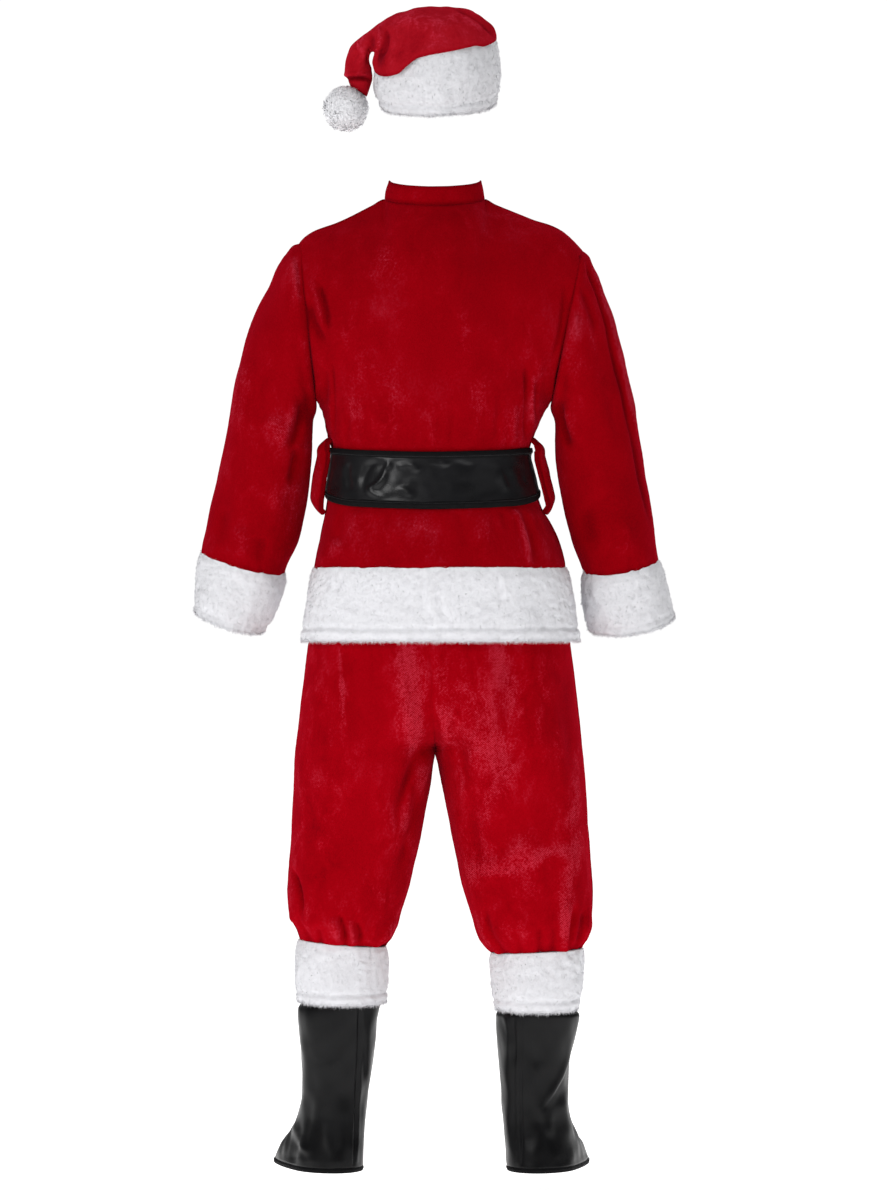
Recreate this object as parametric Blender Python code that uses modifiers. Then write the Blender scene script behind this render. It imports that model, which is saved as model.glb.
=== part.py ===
"""Worn plush costume: hat, jacket with belt, trousers and boot covers, as hollow cloth walls.

The cloth keeps the pose of a general standing figure and is open at neck, cuffs, hem, waist and legs.
The suit faces -Y, its back is towards +Y, and the wearer's left is at +X. Tables give millimetres above
the wearer's soles, and the whole model hangs on an empty that puts its origin at the base of the neck.
"""

import math

import bmesh
import bpy
import numpy as np
from mathutils import Matrix

MM = 0.001
CARRY_HEIGHT = 1527.0

# Cloth thicknesses and clearances
PLUSH = 3.0
LEATHERETTE = 2.0
STRAP = 3.0
SEAM = 0.3
HALF_SEAM = SEAM / 2
REST = 0.6
BELT_REST = 0.9

# Facets round each tube
TURN = math.pi
SLEEVE_SIDES = 14
LEG_SIDES = 14
HAT_SIDES = 14


def columns(names, *rows):
    """A table's rows as one array for each named column."""
    return {name: np.array(values, float) for name, values in zip(names.split(), zip(*rows))}


# Jacket
HEM_SEAM = 967.0
HEM_EDGE = 857.0
UNDERARM = 1223.0
JACKET_RINGS = columns(
    "height left right back front",
    (857, 206.0, -219.5, 148, -149),
    (967, 190.0, -201.5, 143, -144),
    (1011, 182.0, -188.0, 135, -138),
    (1054, 173.0, -168.0, 124, -130),
    (1078, 170.0, -159.0, 117, -124),
    (1115, 164.5, -150.0, 113, -121),
    (1156, 158.0, -141.5, 109, -117),
    (1172, 169.0, -154.0, 113, -119),
    (1197, 171.0, -162.0, 119, -123),
    (1212, 174.0, -168.5, 122, -125),
    (1223, 184.0, -177.0, 124, -127),
)
RING_POWER = 2.3
# From underarm (0) to shoulder (1): centre line of back and front, and where each row leaves the armhole
SHOULDER_RISE = columns(
    "rise back back_height front front_height leave",
    (0.00, 124, 1223, -127, 1223, 0),
    (0.25, 131, 1290, -134, 1285, 36),
    (0.50, 134, 1362, -130, 1345, 45),
    (0.70, 127, 1424, -116, 1398, 46),
    (0.85, 106, 1476, -96, 1434, 46),
    (1.00, 64, 1527, -72, 1462, 46),
)
ARMHOLE = {1: ((214.0, 1471.0), (184.0, UNDERARM)), -1: ((-229.0, 1460.0), (-177.0, UNDERARM))}
ARMHOLE_DEPTH = 82.0
SHOULDER_LINE = columns(
    "across height",
    (-229, 1460), (-213, 1477), (-197, 1491.5), (-178, 1501), (-152, 1509), (-124, 1520), (-92, 1533),
    (-76, 1541), (80, 1541), (102, 1530), (154, 1505), (191, 1491.5), (204, 1482), (214, 1471),
)
NECK_CENTRE = 2.0
NECK_HALF = 78.0
NECK_SIDE = 1541.0
NECK_MIDDLE = {1: (64.0, 1527.0), -1: (-72.0, 1462.0)}
NECK_SHARE = 1 / 3
YOKE_FADE = 2.5
OVERLAP_LIFT = {"jacket": 4.2, "band": 7.4}
COLLAR_HEIGHT = 27.0
COLLAR_LEAN = 5.0
COLLAR_CLEAR = 3.6
# Columns and rows of the jacket: degrees from the left side to the right, and heights up to the underarm
BACK_COLUMNS = np.radians([0, 15, 30, 45, 60, 72, 84, 96, 108, 120, 135, 150, 165, 180])
FRONT_COLUMNS = np.radians([0, 15, 30, 45, 60, 70, 82, 90, 98, 110, 120, 135, 150, 165, 180])
LEFT_COLUMNS = FRONT_COLUMNS[:9]
RIGHT_COLUMNS = FRONT_COLUMNS[6:]
LOW_ROWS = np.array([967.3, 1011, 1054, 1066, 1078, 1115, 1138, 1148, 1156, 1172, 1200])
BAND_ROWS = np.array([857.0, 875.0, 967.0])
SEAM_ANGLE = HALF_SEAM / 120

# Sleeves: outer and inner point of each section as seen from behind, its centre, half depth and backward dip
SECTION_COLUMNS = "along outer outer_height inner inner_height centre half tilt"
SLEEVES = {
    1: columns(
        SECTION_COLUMNS,
        (0, 214, 1471, 184, 1223, 0, 82, 0),
        (1, 231, 1458, 187, 1215, 0, 84, 0),
        (2, 244, 1440, 189.5, 1207, -1, 85, 0),
        (3, 260, 1407, 191.5, 1196, -2, 84, 1),
        (4, 278, 1369, 193, 1181, -4, 82, 2),
        (5, 294, 1326, 194, 1162, -7, 80, 3),
        (6, 308, 1270, 194.5, 1138, -10, 78, 4),
        (7, 319, 1213, 197, 1107, -14, 76, 6),
        (8, 338, 1122, 204, 1058, -23, 73, 8),
        (9, 354, 1048, 214, 1012, -30, 70, 10),
        (10, 367, 996, 235, 961, -36, 68, 10),
    ),
    -1: columns(
        SECTION_COLUMNS,
        (0, -229, 1460, -177, 1223, 0, 82, 0),
        (1, -236, 1448, -179.5, 1214, 0, 84, 0),
        (2, -248, 1421, -181.5, 1205, -1, 85, 0),
        (3, -258, 1394, -183.5, 1193, -2, 84, 1),
        (4, -271, 1360, -185, 1178, -4, 82, 2),
        (5, -286, 1316, -186, 1160, -7, 80, 3),
        (6, -298, 1264, -187, 1138, -10, 78, 4),
        (7, -308, 1218, -190, 1112, -14, 76, 6),
        (8, -324, 1132, -198, 1063, -23, 73, 9),
        (9, -336, 1056, -211, 1012, -30, 70, 11),
        (10, -346, 982, -230, 963, -36, 68, 11),
    ),
}
SLEEVE_START = 0.045
SLEEVE_BANDS = {
    1: columns(
        SECTION_COLUMNS,
        (0, 367, 996, 235, 961, -36, 67, 10),
        (1, 371, 965, 244, 923, -40, 66, 11),
        (2, 374.5, 903, 271, 871, -46, 60, 12),
    ),
    -1: columns(
        SECTION_COLUMNS,
        (0, -346, 982, -230, 963, -36, 67, 11),
        (1, -356, 948, -231, 921, -40, 66, 14),
        (2, -370, 894, -239, 876, -46, 62, 18),
    ),
}

# Belt and what is on it
BELT_EDGES = columns(
    "angle bottom top",
    (-30, 1073, 1152), (0, 1082, 1153), (25, 1071, 1151), (48, 1062.5, 1147), (90, 1058, 1143.5),
    (132, 1062.5, 1147), (155, 1071, 1151), (180, 1082, 1153), (225, 1068, 1150), (270, 1066, 1147),
    (315, 1068, 1150), (360, 1082, 1153), (390, 1071, 1151),
)
BINDING_SHARE = 0.1
BINDING_RISE = 0.8
STRAP_GAP = 0.004
BUCKLE = {"height": 100.0, "width": 84.0, "bar": 11.0, "depth": 4.0}
PRONG_HEIGHT = 7.0
LOOP_ACROSS = np.radians([-4, 0, 15, 24])
LOOP_CLOTH = 6.5
LOOP_ARCH = columns(
    "along height stand_off",
    (0, 1169, 0.95), (1, 1163, 8), (2, 1150, 17.5), (3, 1112, 19.5), (4, 1080, 18.5), (5, 1065, 13),
    (6, 1056, 6), (7, 1051, 0.95),
)

# Trousers
TROUSER_ROWS = columns(
    "height outer_left outer_right middle part_left part_right back front start",
    (386, 212.0, -228.0, -3, 79.0, 81.0, 66, -66, 180),
    (400, 216.0, -236.0, -3, 71.0, 70.0, 76, -76, 180),
    (422, 228.0, -243.0, -2, 62.0, 58.0, 88, -87, 180),
    (466, 230.0, -243.0, -1, 46.0, 42.0, 95, -93, 180),
    (550, 223.5, -237.0, 0, 23.5, 25.0, 105, -101, 180),
    (617, 220.5, -233.0, 0, 11.5, 12.0, 115, -110, 180),
    (662, 219.0, -230.0, 1, 4.0, 5.0, 122, -117, 180),
    (683, 218.0, -228.5, 1, 0.15, 0.15, 124, -119, 180),
    (702, 216.5, -226.5, 2, 0.15, 0.15, 127, -121, 148),
    (727, 214.0, -224.0, 3, 0.15, 0.15, 130, -124, 126),
    (762, 210.0, -220.5, 5, 0.15, 0.15, 134, -128, 108),
    (803, 204.5, -215.5, 7, 0.15, 0.15, 137, -131, 96),
    (900, 190.0, -202.0, 9, 0.15, 0.15, 135, -131, 90),
    (1000, 173.5, -176.0, 8, 0.15, 0.15, 124, -125, 90),
    (1040, 167.5, -160.0, 8, 0.15, 0.15, 116, -121, 90),
    (1086.6, 163.8, -152.3, 8, 0.15, 0.15, 109.5, -117.5, 90),
)
TROUSER_POWER = 2.2
TROUSER_SIDES = 6
TROUSER_EDGE = 0.0012
CUFF_TILT = {1: 5.5, -1: 3.5}
CUFF_DROP = {1: 0.0, -1: -11.5}
CUFF_REACH = (386.0, 470.0)
PLEAT_DEPTH = 3.0
PLEAT_REACH = (386.0, 440.0)
PLEAT_COUNT = 6
CASING = {"bottom": 1088.4, "top": 1121.0, "cloth": 4.0}
TRIM_FACES = (-3.0, 2.0)
BAND_FACES = {"under": -2.8, "over": np.array([3.2, 3.2, 2.2])[:, None]}
LEG_BANDS = {
    1: columns(
        SECTION_COLUMNS,
        (0, 214.5, 391.2, 78, 380.2, 0, 66, 0),
        (1, 215, 345, 77, 338, 0, 66, 1),
        (2, 213.5, 297, 80, 296, 0, 65, 2),
    ),
    -1: columns(
        SECTION_COLUMNS,
        (0, -229.5, 377.7, -86, 370.7, 0, 66, 0),
        (1, -227, 331, -88, 328, 0, 66, 1),
        (2, -220.5, 286, -94.5, 285, 0, 64, 2),
    ),
}

# Boot covers: rings about the ankle, longer towards the toe, turned outwards lower down
BOOT_COLUMNS = "height centre half heel toe turn"
BOOTS = {
    1: columns(
        BOOT_COLUMNS,
        (306, 146.8, 62.6, 61, 61, 0), (295, 146.8, 62.6, 61, 61, 0), (284, 151.5, 64.0, 61, 61, 2),
        (262, 153.5, 62.0, 60, 62, 6), (205, 154, 56.0, 56, 61, 12), (150, 154, 51, 54, 66, 18),
        (118, 155, 50, 56, 80, 22), (92, 157, 51, 60, 105, 24), (64, 159, 52.5, 67, 145, 25),
        (36, 160, 53.5, 71, 168, 25),
    ),
    -1: columns(
        BOOT_COLUMNS,
        (295, -157.5, 59.0, 60, 60, 0), (284, -157.5, 59.0, 60, 60, 0), (273, -158.0, 65.0, 61, 61, 2),
        (256, -156.5, 64.0, 60, 62, 5), (205, -153, 56.0, 56, 61, 10), (145, -151, 51, 54, 68, 15),
        (115, -151.5, 50.5, 56, 82, 18), (92, -153, 51, 60, 105, 19), (64, -155.5, 52.5, 67, 142, 20),
        (36, -156, 53.5, 71, 166, 20),
    ),
}
BOOT_POWER = 2.0
BOOT_BINDING = 6.0
BOOT_BINDING_FACES = (-2.6, 0.8)
BOOT_GAP = 0.5

# Hat
HAT_BAND = columns(
    SECTION_COLUMNS,
    (0, -92, 1789, 92, 1758, 4, 99, 14),
    (1, -98, 1745, 94.5, 1722, -4, 104, 14),
    (2, -92, 1692, 84, 1686, -14, 101, 14),
)
HAT_CROWN = columns(
    SECTION_COLUMNS,
    (0, -92, 1789.6, 92, 1758.6, 4, 99, 14),
    (1, -90, 1803, 93.5, 1764, 5, 97, 12),
    (2, -79, 1817, 95.5, 1767.5, 5, 93, 10),
    (3, -56, 1831, 98, 1769, 4, 87, 8),
    (4, -26, 1838.5, 100.5, 1769, 2, 79, 6),
    (5, 14, 1839.5, 102.5, 1768, 0, 69, 4),
    (6, 54, 1833, 104, 1765, -3, 58, 2),
    (7, 86, 1817, 105, 1761, -6, 47, 0),
    (8, 110, 1799, 105.5, 1756, -9, 38, 0),
    (9, 132, 1771, 105, 1748, -12, 30, 0),
    (10, 142, 1738, 104.5, 1731, -14, 22, 0),
    (11, 133, 1718.5, 110, 1703, -16, 12, 0),
)
POMPOM_RADIUS = 34.0


def smooth(keys, values, at):
    """A curve through the table's points that never swings past them, read at the given places."""
    step = np.diff(keys)
    slope = np.diff(values) / step
    product = slope[:-1] * slope[1:]
    total = np.where(product > 0, slope[:-1] + slope[1:], 1.0)
    tangent = np.concatenate(([slope[0]], np.where(product > 0, 2 * product / total, 0.0), [slope[-1]]))
    cell = np.clip(np.searchsorted(keys, at, side="right") - 1, 0, len(step) - 1)
    part = (at - keys[cell]) / step[cell]
    bend_in = tangent[cell] * step[cell]
    bend_out = tangent[cell + 1] * step[cell]
    rise = values[cell + 1] - values[cell]
    return values[cell] + part * (bend_in + part * (
        3 * rise - 2 * bend_in - bend_out + part * (bend_in + bend_out - 2 * rise)))


def read(table, key, at):
    """Every column of a table at the given places along its key column."""
    order = np.argsort(table[key])
    keys = table[key][order]
    return {name: smooth(keys, values[order], at) for name, values in table.items() if name != key}


def ease(low, high, at):
    """0 up to low, 1 from high, and a soft step between."""
    part = np.clip((at - low) / (high - low), 0, 1)
    return part * part * (3 - 2 * part)


def mix(first, second, share):
    return first + (second - first) * share


def oval(angle, power):
    """The two coordinates of a squared-off unit circle."""
    reach = (np.abs(np.cos(angle)) ** power + np.abs(np.sin(angle)) ** power) ** (-1 / power)
    return reach * np.cos(angle), reach * np.sin(angle)


def point(x, y, z):
    return np.stack(np.broadcast_arrays(x, y, z), axis=-1)


def outward(surface, across, along, turn):
    """Unit normals of a surface on the side that turn picks."""
    step = 1e-4
    first = surface(across + step, along) - surface(across - step, along)
    second = surface(across, along + step) - surface(across, along - step)
    normal = np.cross(first, second) * turn
    return normal / np.linalg.norm(normal, axis=-1, keepdims=True)


def neck_and_shoulders(angle, side):
    """The jacket's top edge from the left shoulder point, over the neck, to the right one."""
    share = angle / TURN
    shoulder = np.minimum(share, 1 - share) / NECK_SHARE
    sign = np.where(share < 0.5, 1, -1)
    tip = np.where(share < 0.5, ARMHOLE[1][0][0], ARMHOLE[-1][0][0])
    along = mix(tip, NECK_CENTRE + sign * NECK_HALF, shoulder)
    round_neck = np.clip((share - NECK_SHARE) / (1 - 2 * NECK_SHARE), 0, 1) * TURN
    neck_y, neck_z = NECK_MIDDLE[side]
    on_neck = shoulder > 1
    x = np.where(on_neck, NECK_CENTRE + NECK_HALF * np.cos(round_neck), along)
    y = np.where(on_neck, neck_y * np.sin(round_neck), 0.0) + side * HALF_SEAM
    z = np.where(
        on_neck,
        mix(NECK_SIDE, neck_z, np.sin(round_neck)),
        smooth(SHOULDER_LINE["across"], SHOULDER_LINE["height"], along),
    )
    return point(x, y, z)


def jacket_row(angle, along, side):
    """One row of the jacket. along is 0 at the hem seam, 1 at the underarm and 2 at the shoulder."""
    low = np.minimum(along, 1.0)
    rise = np.maximum(along - 1.0, 0.0)
    height = mix(HEM_SEAM, UNDERARM, low)
    body = read(JACKET_RINGS, "height", height)
    top = read(SHOULDER_RISE, "rise", rise)
    upper = along > 1
    swing = -TURN / 2 + TURN * rise
    climb = (1 + np.sin(swing)) / 2
    left, right = (
        (mix(ARMHOLE[s][1][0], ARMHOLE[s][0][0], climb), mix(ARMHOLE[s][1][1], ARMHOLE[s][0][1], climb))
        for s in (1, -1)
    )
    left_x = np.where(upper, left[0], body["left"])
    right_x = np.where(upper, right[0], body["right"])
    edge_y = np.where(upper, side * ARMHOLE_DEPTH * np.cos(swing), 0.0)
    depth = np.where(upper, top["back" if side > 0 else "front"], body["back" if side > 0 else "front"])
    middle = np.where(upper, top["back_height" if side > 0 else "front_height"], height)
    leave = np.where(upper, np.radians(top["leave"]), 0.0)
    turned = leave + angle * (TURN - 2 * leave) / TURN
    cos_part, sin_part = oval(turned, RING_POWER)
    cos_start, sin_start = oval(leave, RING_POWER)
    bulge = (sin_part - sin_start) / (1 - sin_start)
    across = cos_part / cos_start
    x = (left_x + right_x) / 2 + (left_x - right_x) / 2 * across
    y = mix(edge_y, depth, bulge)
    edge_z = np.where(upper, mix(right[1], left[1], (1 + across) / 2), height)
    return point(x, y, mix(edge_z, middle, bulge))


def jacket(side):
    """The jacket's outer surface, back (side 1) or front (side -1): angle 0 is the left side, pi the right."""
    def surface(angle, along):
        rise = np.maximum(along - 1.0, 0.0)[..., None]
        shoulder = neck_and_shoulders(angle, side) - jacket_row(angle, np.full_like(along, 2.0), side)
        return jacket_row(angle, along, side) + shoulder * rise ** YOKE_FADE
    return surface


def armhole_normal(swing, arm, side):
    """Outward direction in the armhole's own plane."""
    (tip_x, tip_z), (under_x, under_z) = ARMHOLE[arm]
    half = math.hypot(tip_x - under_x, tip_z - under_z) / 2
    rise = np.sin(swing) / half
    level = side * np.cos(swing) / ARMHOLE_DEPTH
    normal = point(rise * (tip_x - under_x) / (2 * half), level, rise * (tip_z - under_z) / (2 * half))
    return normal / np.linalg.norm(normal, axis=-1, keepdims=True)


def toward(normal, other, share):
    blended = mix(normal, other, np.asarray(share)[..., None])
    return blended / np.linalg.norm(blended, axis=-1, keepdims=True)


def jacket_rim(side):
    """Turns the panel's normals at armholes and shoulder seams so that walls that meet there stay apart."""
    def rim(angle, along, normal):
        swing = -TURN / 2 + TURN * (along - 1)
        upper = (along > 1) * ease(-0.2, 0.3, np.sin(swing))
        for arm, edge in ((1, 0.0), (-1, TURN)):
            at_edge = (np.abs(angle - edge) < 1e-6) * upper
            normal = toward(normal, armhole_normal(swing, arm, side), at_edge)
        shoulder = np.minimum(angle, TURN - angle) <= NECK_SHARE * TURN + 1e-6
        level = normal * np.array([1.0, 0.0, 1.0])
        return toward(normal, level / np.linalg.norm(level, axis=-1, keepdims=True),
                      (along > 2 - 1e-6) * shoulder)
    return rim


def sections(table):
    """A tube through sections that each have an outer and an inner point, a centre and a half depth."""
    def surface(angle, along):
        at = read(table, "along", along)
        cos_part, sin_part = np.cos(angle), np.sin(angle)
        tilt = np.radians(at["tilt"])
        x = (at["outer"] + at["inner"]) / 2 + (at["outer"] - at["inner"]) / 2 * cos_part
        z = (at["outer_height"] + at["inner_height"]) / 2
        z = z + (at["outer_height"] - at["inner_height"]) / 2 * cos_part
        reach = at["half"] * sin_part
        return point(x, at["centre"] + reach * np.cos(tilt), z - reach * np.sin(tilt))
    return surface


def sleeve_rim(arm):
    """The sleeve's first section shares the armhole's normals over its upper half."""
    def rim(angle, along, normal):
        swing = np.arcsin(np.clip(np.cos(angle), -1, 1))
        side = np.where(np.sin(angle) >= 0, 1, -1)
        share = (along < 0.2) * ease(-0.2, 0.3, np.cos(angle))
        return toward(normal, armhole_normal(swing, arm, side), share)
    return rim


def ring_at(angle, height):
    """The jacket's outline all round at any height below the underarm."""
    along = (height - HEM_SEAM) / (UNDERARM - HEM_SEAM)
    back = jacket(1)(np.where(angle <= TURN, angle, 0.0), along)
    front = jacket(-1)(np.where(angle > TURN, 2 * TURN - angle, 0.0), along)
    return np.where((angle > TURN)[..., None], front, back)


def belt(angle, share):
    """The belt's ground on the jacket: angle all round from the left side, share up the belt's width."""
    edges = read(BELT_EDGES, "angle", np.degrees(angle))
    return ring_at(np.mod(angle, 2 * TURN), mix(edges["bottom"], edges["top"], share))


def front_lift(kind):
    """How far the left front stands off to lap over the right one."""
    return lambda angle: OVERLAP_LIFT[kind] * ease(math.radians(58), math.radians(80), angle)


def trouser(leg, side):
    """One trouser panel's surface: across is 0 at the inseam or centre seam and 1 at the outseam."""
    def surface(across, height):
        row = read(TROUSER_ROWS, "height", height)
        outer = row["outer_left" if leg > 0 else "outer_right"]
        inner = row["middle"] + leg * row["part_left" if leg > 0 else "part_right"]
        depth = row["back" if side > 0 else "front"]
        start = np.radians(row["start"])
        cos_part, sin_part = oval(start * (1 - across), TROUSER_POWER)
        cos_start = oval(start, TROUSER_POWER)[0]
        low = 1 - ease(*CUFF_REACH, height)
        drop = low * (CUFF_DROP[leg] + CUFF_TILT[leg] * cos_part)
        x = outer - (outer - inner) * (1 - cos_part) / (1 - cos_start)
        return point(x, depth * sin_part, height + drop)
    return surface


def pleats(across, height):
    """Gathers that run up from the leg band and fade out."""
    return PLEAT_DEPTH * np.cos(across * TURN * PLEAT_COUNT) * (1 - ease(*PLEAT_REACH, height))


def boot(leg):
    """A boot cover about the ankle's axis, angle 0 on its outer side and the toe at -pi/2."""
    def surface(angle, height):
        ring = read(BOOTS[leg], "height", height)
        cos_part, sin_part = oval(angle, BOOT_POWER)
        aside = leg * ring["half"] * cos_part
        ahead = -sin_part * np.where(sin_part > 0, ring["heel"], ring["toe"])
        turn = np.radians(ring["turn"])
        x = ring["centre"] + aside * np.cos(turn) + leg * ahead * np.sin(turn)
        y = leg * aside * np.sin(turn) - ahead * np.cos(turn)
        return point(x, y, np.broadcast_to(height, np.shape(x)))
    return surface


def collar(angle, share):
    """A narrow stand collar on the neck line: angle runs from the front, over the left, to the back and round."""
    sin_part = np.sin(angle)
    back = sin_part > 0
    depth = np.where(back, NECK_MIDDLE[1][0], -NECK_MIDDLE[-1][0])
    low = np.where(back, NECK_MIDDLE[1][1], NECK_MIDDLE[-1][1])
    x = NECK_CENTRE + (NECK_HALF - COLLAR_LEAN * share) * np.cos(angle)
    y = (depth - COLLAR_LEAN * share) * sin_part
    from_front = np.abs(np.mod(angle + 1.5 * TURN, 2 * TURN) - TURN)
    clear = COLLAR_CLEAR * (1 - ease(math.radians(60), math.radians(90), from_front))
    z = mix(NECK_SIDE, low, np.abs(sin_part)) + 2 * REST + clear + COLLAR_HEIGHT * share
    return point(x, y, z)


def loop_path(side):
    """The outer face of a belt loop: across runs along the jacket's side, along down the loop's arch."""
    def surface(across, along):
        arch = read(LOOP_ARCH, "along", along)
        angle = across if side > 0 else TURN - across
        lean = np.mean(LOOP_ACROSS)
        out = np.array([side * math.cos(lean), math.sin(lean), 0.0])
        return ring_at(np.mod(angle, 2 * TURN), arch["height"]) + arch["stand_off"][..., None] * out
    return surface


def reset_scene():
    for obj in list(bpy.data.objects):
        bpy.data.objects.remove(obj)


def make_material(name, colour, roughness, metallic=0.0):
    material = bpy.data.materials.new(name)
    material.use_nodes = True
    shader = material.node_tree.nodes["Principled BSDF"]
    shader.inputs["Base Color"].default_value = (*colour, 1.0)
    shader.inputs["Roughness"].default_value = roughness
    shader.inputs["Metallic"].default_value = metallic
    return material


def add_object(name, mesh, material):
    obj = bpy.data.objects.new(name, mesh)
    obj.parent = ROOT
    obj.data.materials.append(material)
    SUIT.objects.link(obj)
    return obj


def cloth_wall(name, surface, across, along, faces, material, turn=1, closed=False, rim=None, folds=None):
    """A cloth wall over a grid of the surface. faces are the inner and outer face's heights above it."""
    a, b = np.meshgrid(np.asarray(across, float), np.asarray(along, float))
    normal = outward(surface, a, b, turn)
    if rim:
        normal = rim(a, b, normal)
    ground = surface(a, b)
    if folds is not None:
        ground = ground + normal * folds(a, b)[..., None]
    layers = [ground + normal * np.broadcast_to(face, a.shape)[..., None] for face in faces]
    rows, count = a.shape
    mesh = bpy.data.meshes.new(name)
    build = bmesh.new()
    inner, outer = (
        [[build.verts.new(layer[i, j] * MM) for j in range(count)] for i in range(rows)] for layer in layers
    )
    last = count if closed else count - 1
    for i in range(rows - 1):
        for j in range(last):
            k = (j + 1) % count
            build.faces.new((outer[i][j], outer[i][k], outer[i + 1][k], outer[i + 1][j]))
            build.faces.new((inner[i + 1][j], inner[i + 1][k], inner[i][k], inner[i][j]))
    for j in range(last):
        k = (j + 1) % count
        build.faces.new((inner[0][j], inner[0][k], outer[0][k], outer[0][j]))
        build.faces.new((outer[-1][j], outer[-1][k], inner[-1][k], inner[-1][j]))
    if not closed:
        for i in range(rows - 1):
            build.faces.new((outer[i][0], outer[i + 1][0], inner[i + 1][0], inner[i][0]))
            build.faces.new((inner[i][-1], inner[i + 1][-1], outer[i + 1][-1], outer[i][-1]))
    bmesh.ops.recalc_face_normals(build, faces=build.faces)
    build.to_mesh(mesh)
    build.free()
    mesh.shade_smooth()
    mesh.set_sharp_from_angle(angle=math.radians(50))
    return add_object(name, mesh, material)


def steps(first, last, count):
    return np.linspace(first, last, count + 1)


def around(count):
    return np.arange(count) * 2 * TURN / count


def jacket_share(height):
    """Heights up to the underarm as the jacket surface's own coordinate."""
    return (np.asarray(height) - HEM_SEAM) / (UNDERARM - HEM_SEAM)


def inset(values):
    """The same columns with those on a side seam moved in by half a seam."""
    return np.clip(values, SEAM_ANGLE, TURN - SEAM_ANGLE)


def all_round():
    """The jacket's columns all the way round: over the back, then over the front."""
    return np.concatenate((BACK_COLUMNS[:-1], 2 * TURN - FRONT_COLUMNS[:0:-1]))


def add_jacket():
    rows = np.concatenate((jacket_share(LOW_ROWS), 1 + steps(0, 1, SLEEVE_SIDES // 2)))
    cloth_wall("jacket_back", jacket(1), inset(BACK_COLUMNS), rows, (-PLUSH, 0), RED, 1, rim=jacket_rim(1))
    lift = front_lift("jacket")(LEFT_COLUMNS)
    cloth_wall("jacket_front_left", jacket(-1), inset(LEFT_COLUMNS), rows, (lift - PLUSH, lift), RED, -1,
               rim=jacket_rim(-1))
    cloth_wall("jacket_front_right", jacket(-1), inset(RIGHT_COLUMNS), rows, (-PLUSH, 0), RED, -1,
               rim=jacket_rim(-1))


def add_collar():
    gap = HALF_SEAM / NECK_HALF
    back, front = (
        np.clip((values / TURN - NECK_SHARE) / (1 - 2 * NECK_SHARE), -1, 2) * TURN
        for values in (BACK_COLUMNS, FRONT_COLUMNS)
    )
    back = back[(back >= -1e-9) & (back <= TURN + 1e-9)]
    front = front[(front > 1e-9) & (front < TURN / 2 - 1e-9)]
    angles = np.concatenate(([gap - TURN / 2], -front[::-1], back, TURN + front, [1.5 * TURN - gap]))
    cloth_wall("jacket_collar", collar, angles, (0, 1), (-PLUSH, 0), RED)


def add_hem_band():
    rows = jacket_share(BAND_ROWS)
    under, over = BAND_FACES["under"], BAND_FACES["over"]
    lift = front_lift("band")(LEFT_COLUMNS)
    cloth_wall("hem_band_back", jacket(1), inset(BACK_COLUMNS), rows, (under, over), WHITE)
    cloth_wall("hem_band_front_left", jacket(-1), inset(LEFT_COLUMNS), rows, (under + lift, over + lift), WHITE, -1)
    cloth_wall("hem_band_front_right", jacket(-1), inset(RIGHT_COLUMNS), rows, (under, over), WHITE, -1)


def add_sleeves():
    angles = around(SLEEVE_SIDES)
    for arm, word in ((1, "left"), (-1, "right")):
        rows = np.concatenate(([SLEEVE_START], SLEEVES[arm]["along"][1:]))
        cloth_wall(f"sleeve_{word}", sections(SLEEVES[arm]), angles, rows, (-PLUSH, 0), RED, -arm, True,
                   sleeve_rim(arm))
        cloth_wall(f"sleeve_band_{word}", sections(SLEEVE_BANDS[arm]), angles, (0.02, 1, 2), TRIM_FACES, WHITE,
                   -arm, True)


def belt_lift(angle):
    """How far the belt's back stands off the jacket: a little more where the fronts lap."""
    return BELT_REST + OVERLAP_LIFT["jacket"] * (1 - ease(math.radians(15), math.radians(30),
                                                          np.abs(angle - 1.5 * TURN)))


def add_belt():
    angles = all_round()
    under = belt_lift(angles)
    bound = (under, under + STRAP + BINDING_RISE)
    low, high = BINDING_SHARE, 1 - BINDING_SHARE
    cloth_wall("belt_strap", belt, angles, (low + STRAP_GAP, 0.5, high - STRAP_GAP), (under, under + STRAP), BLACK,
               1, True)
    cloth_wall("belt_binding_top", belt, angles, (high, 1), bound, BLACK, 1, True)
    cloth_wall("belt_binding_bottom", belt, angles, (0, low), bound, BLACK, 1, True)


def box(name, size, place, slant, group):
    bpy.ops.mesh.primitive_cube_add(size=1)
    obj = bpy.context.object
    obj.name = obj.data.name = name
    obj.data.transform(Matrix.Diagonal((*(value * MM for value in size), 1.0)))
    for collection in list(obj.users_collection):
        collection.objects.unlink(obj)
    group.objects.link(obj)
    obj.parent = ROOT
    obj.location = [value * MM for value in place]
    obj.rotation_euler.x = slant
    obj.data.materials.append(METAL)
    return obj


def soften(obj, width):
    bevel = obj.modifiers.new("edges", "BEVEL")
    bevel.width = width * MM
    bevel.segments = 2


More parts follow.
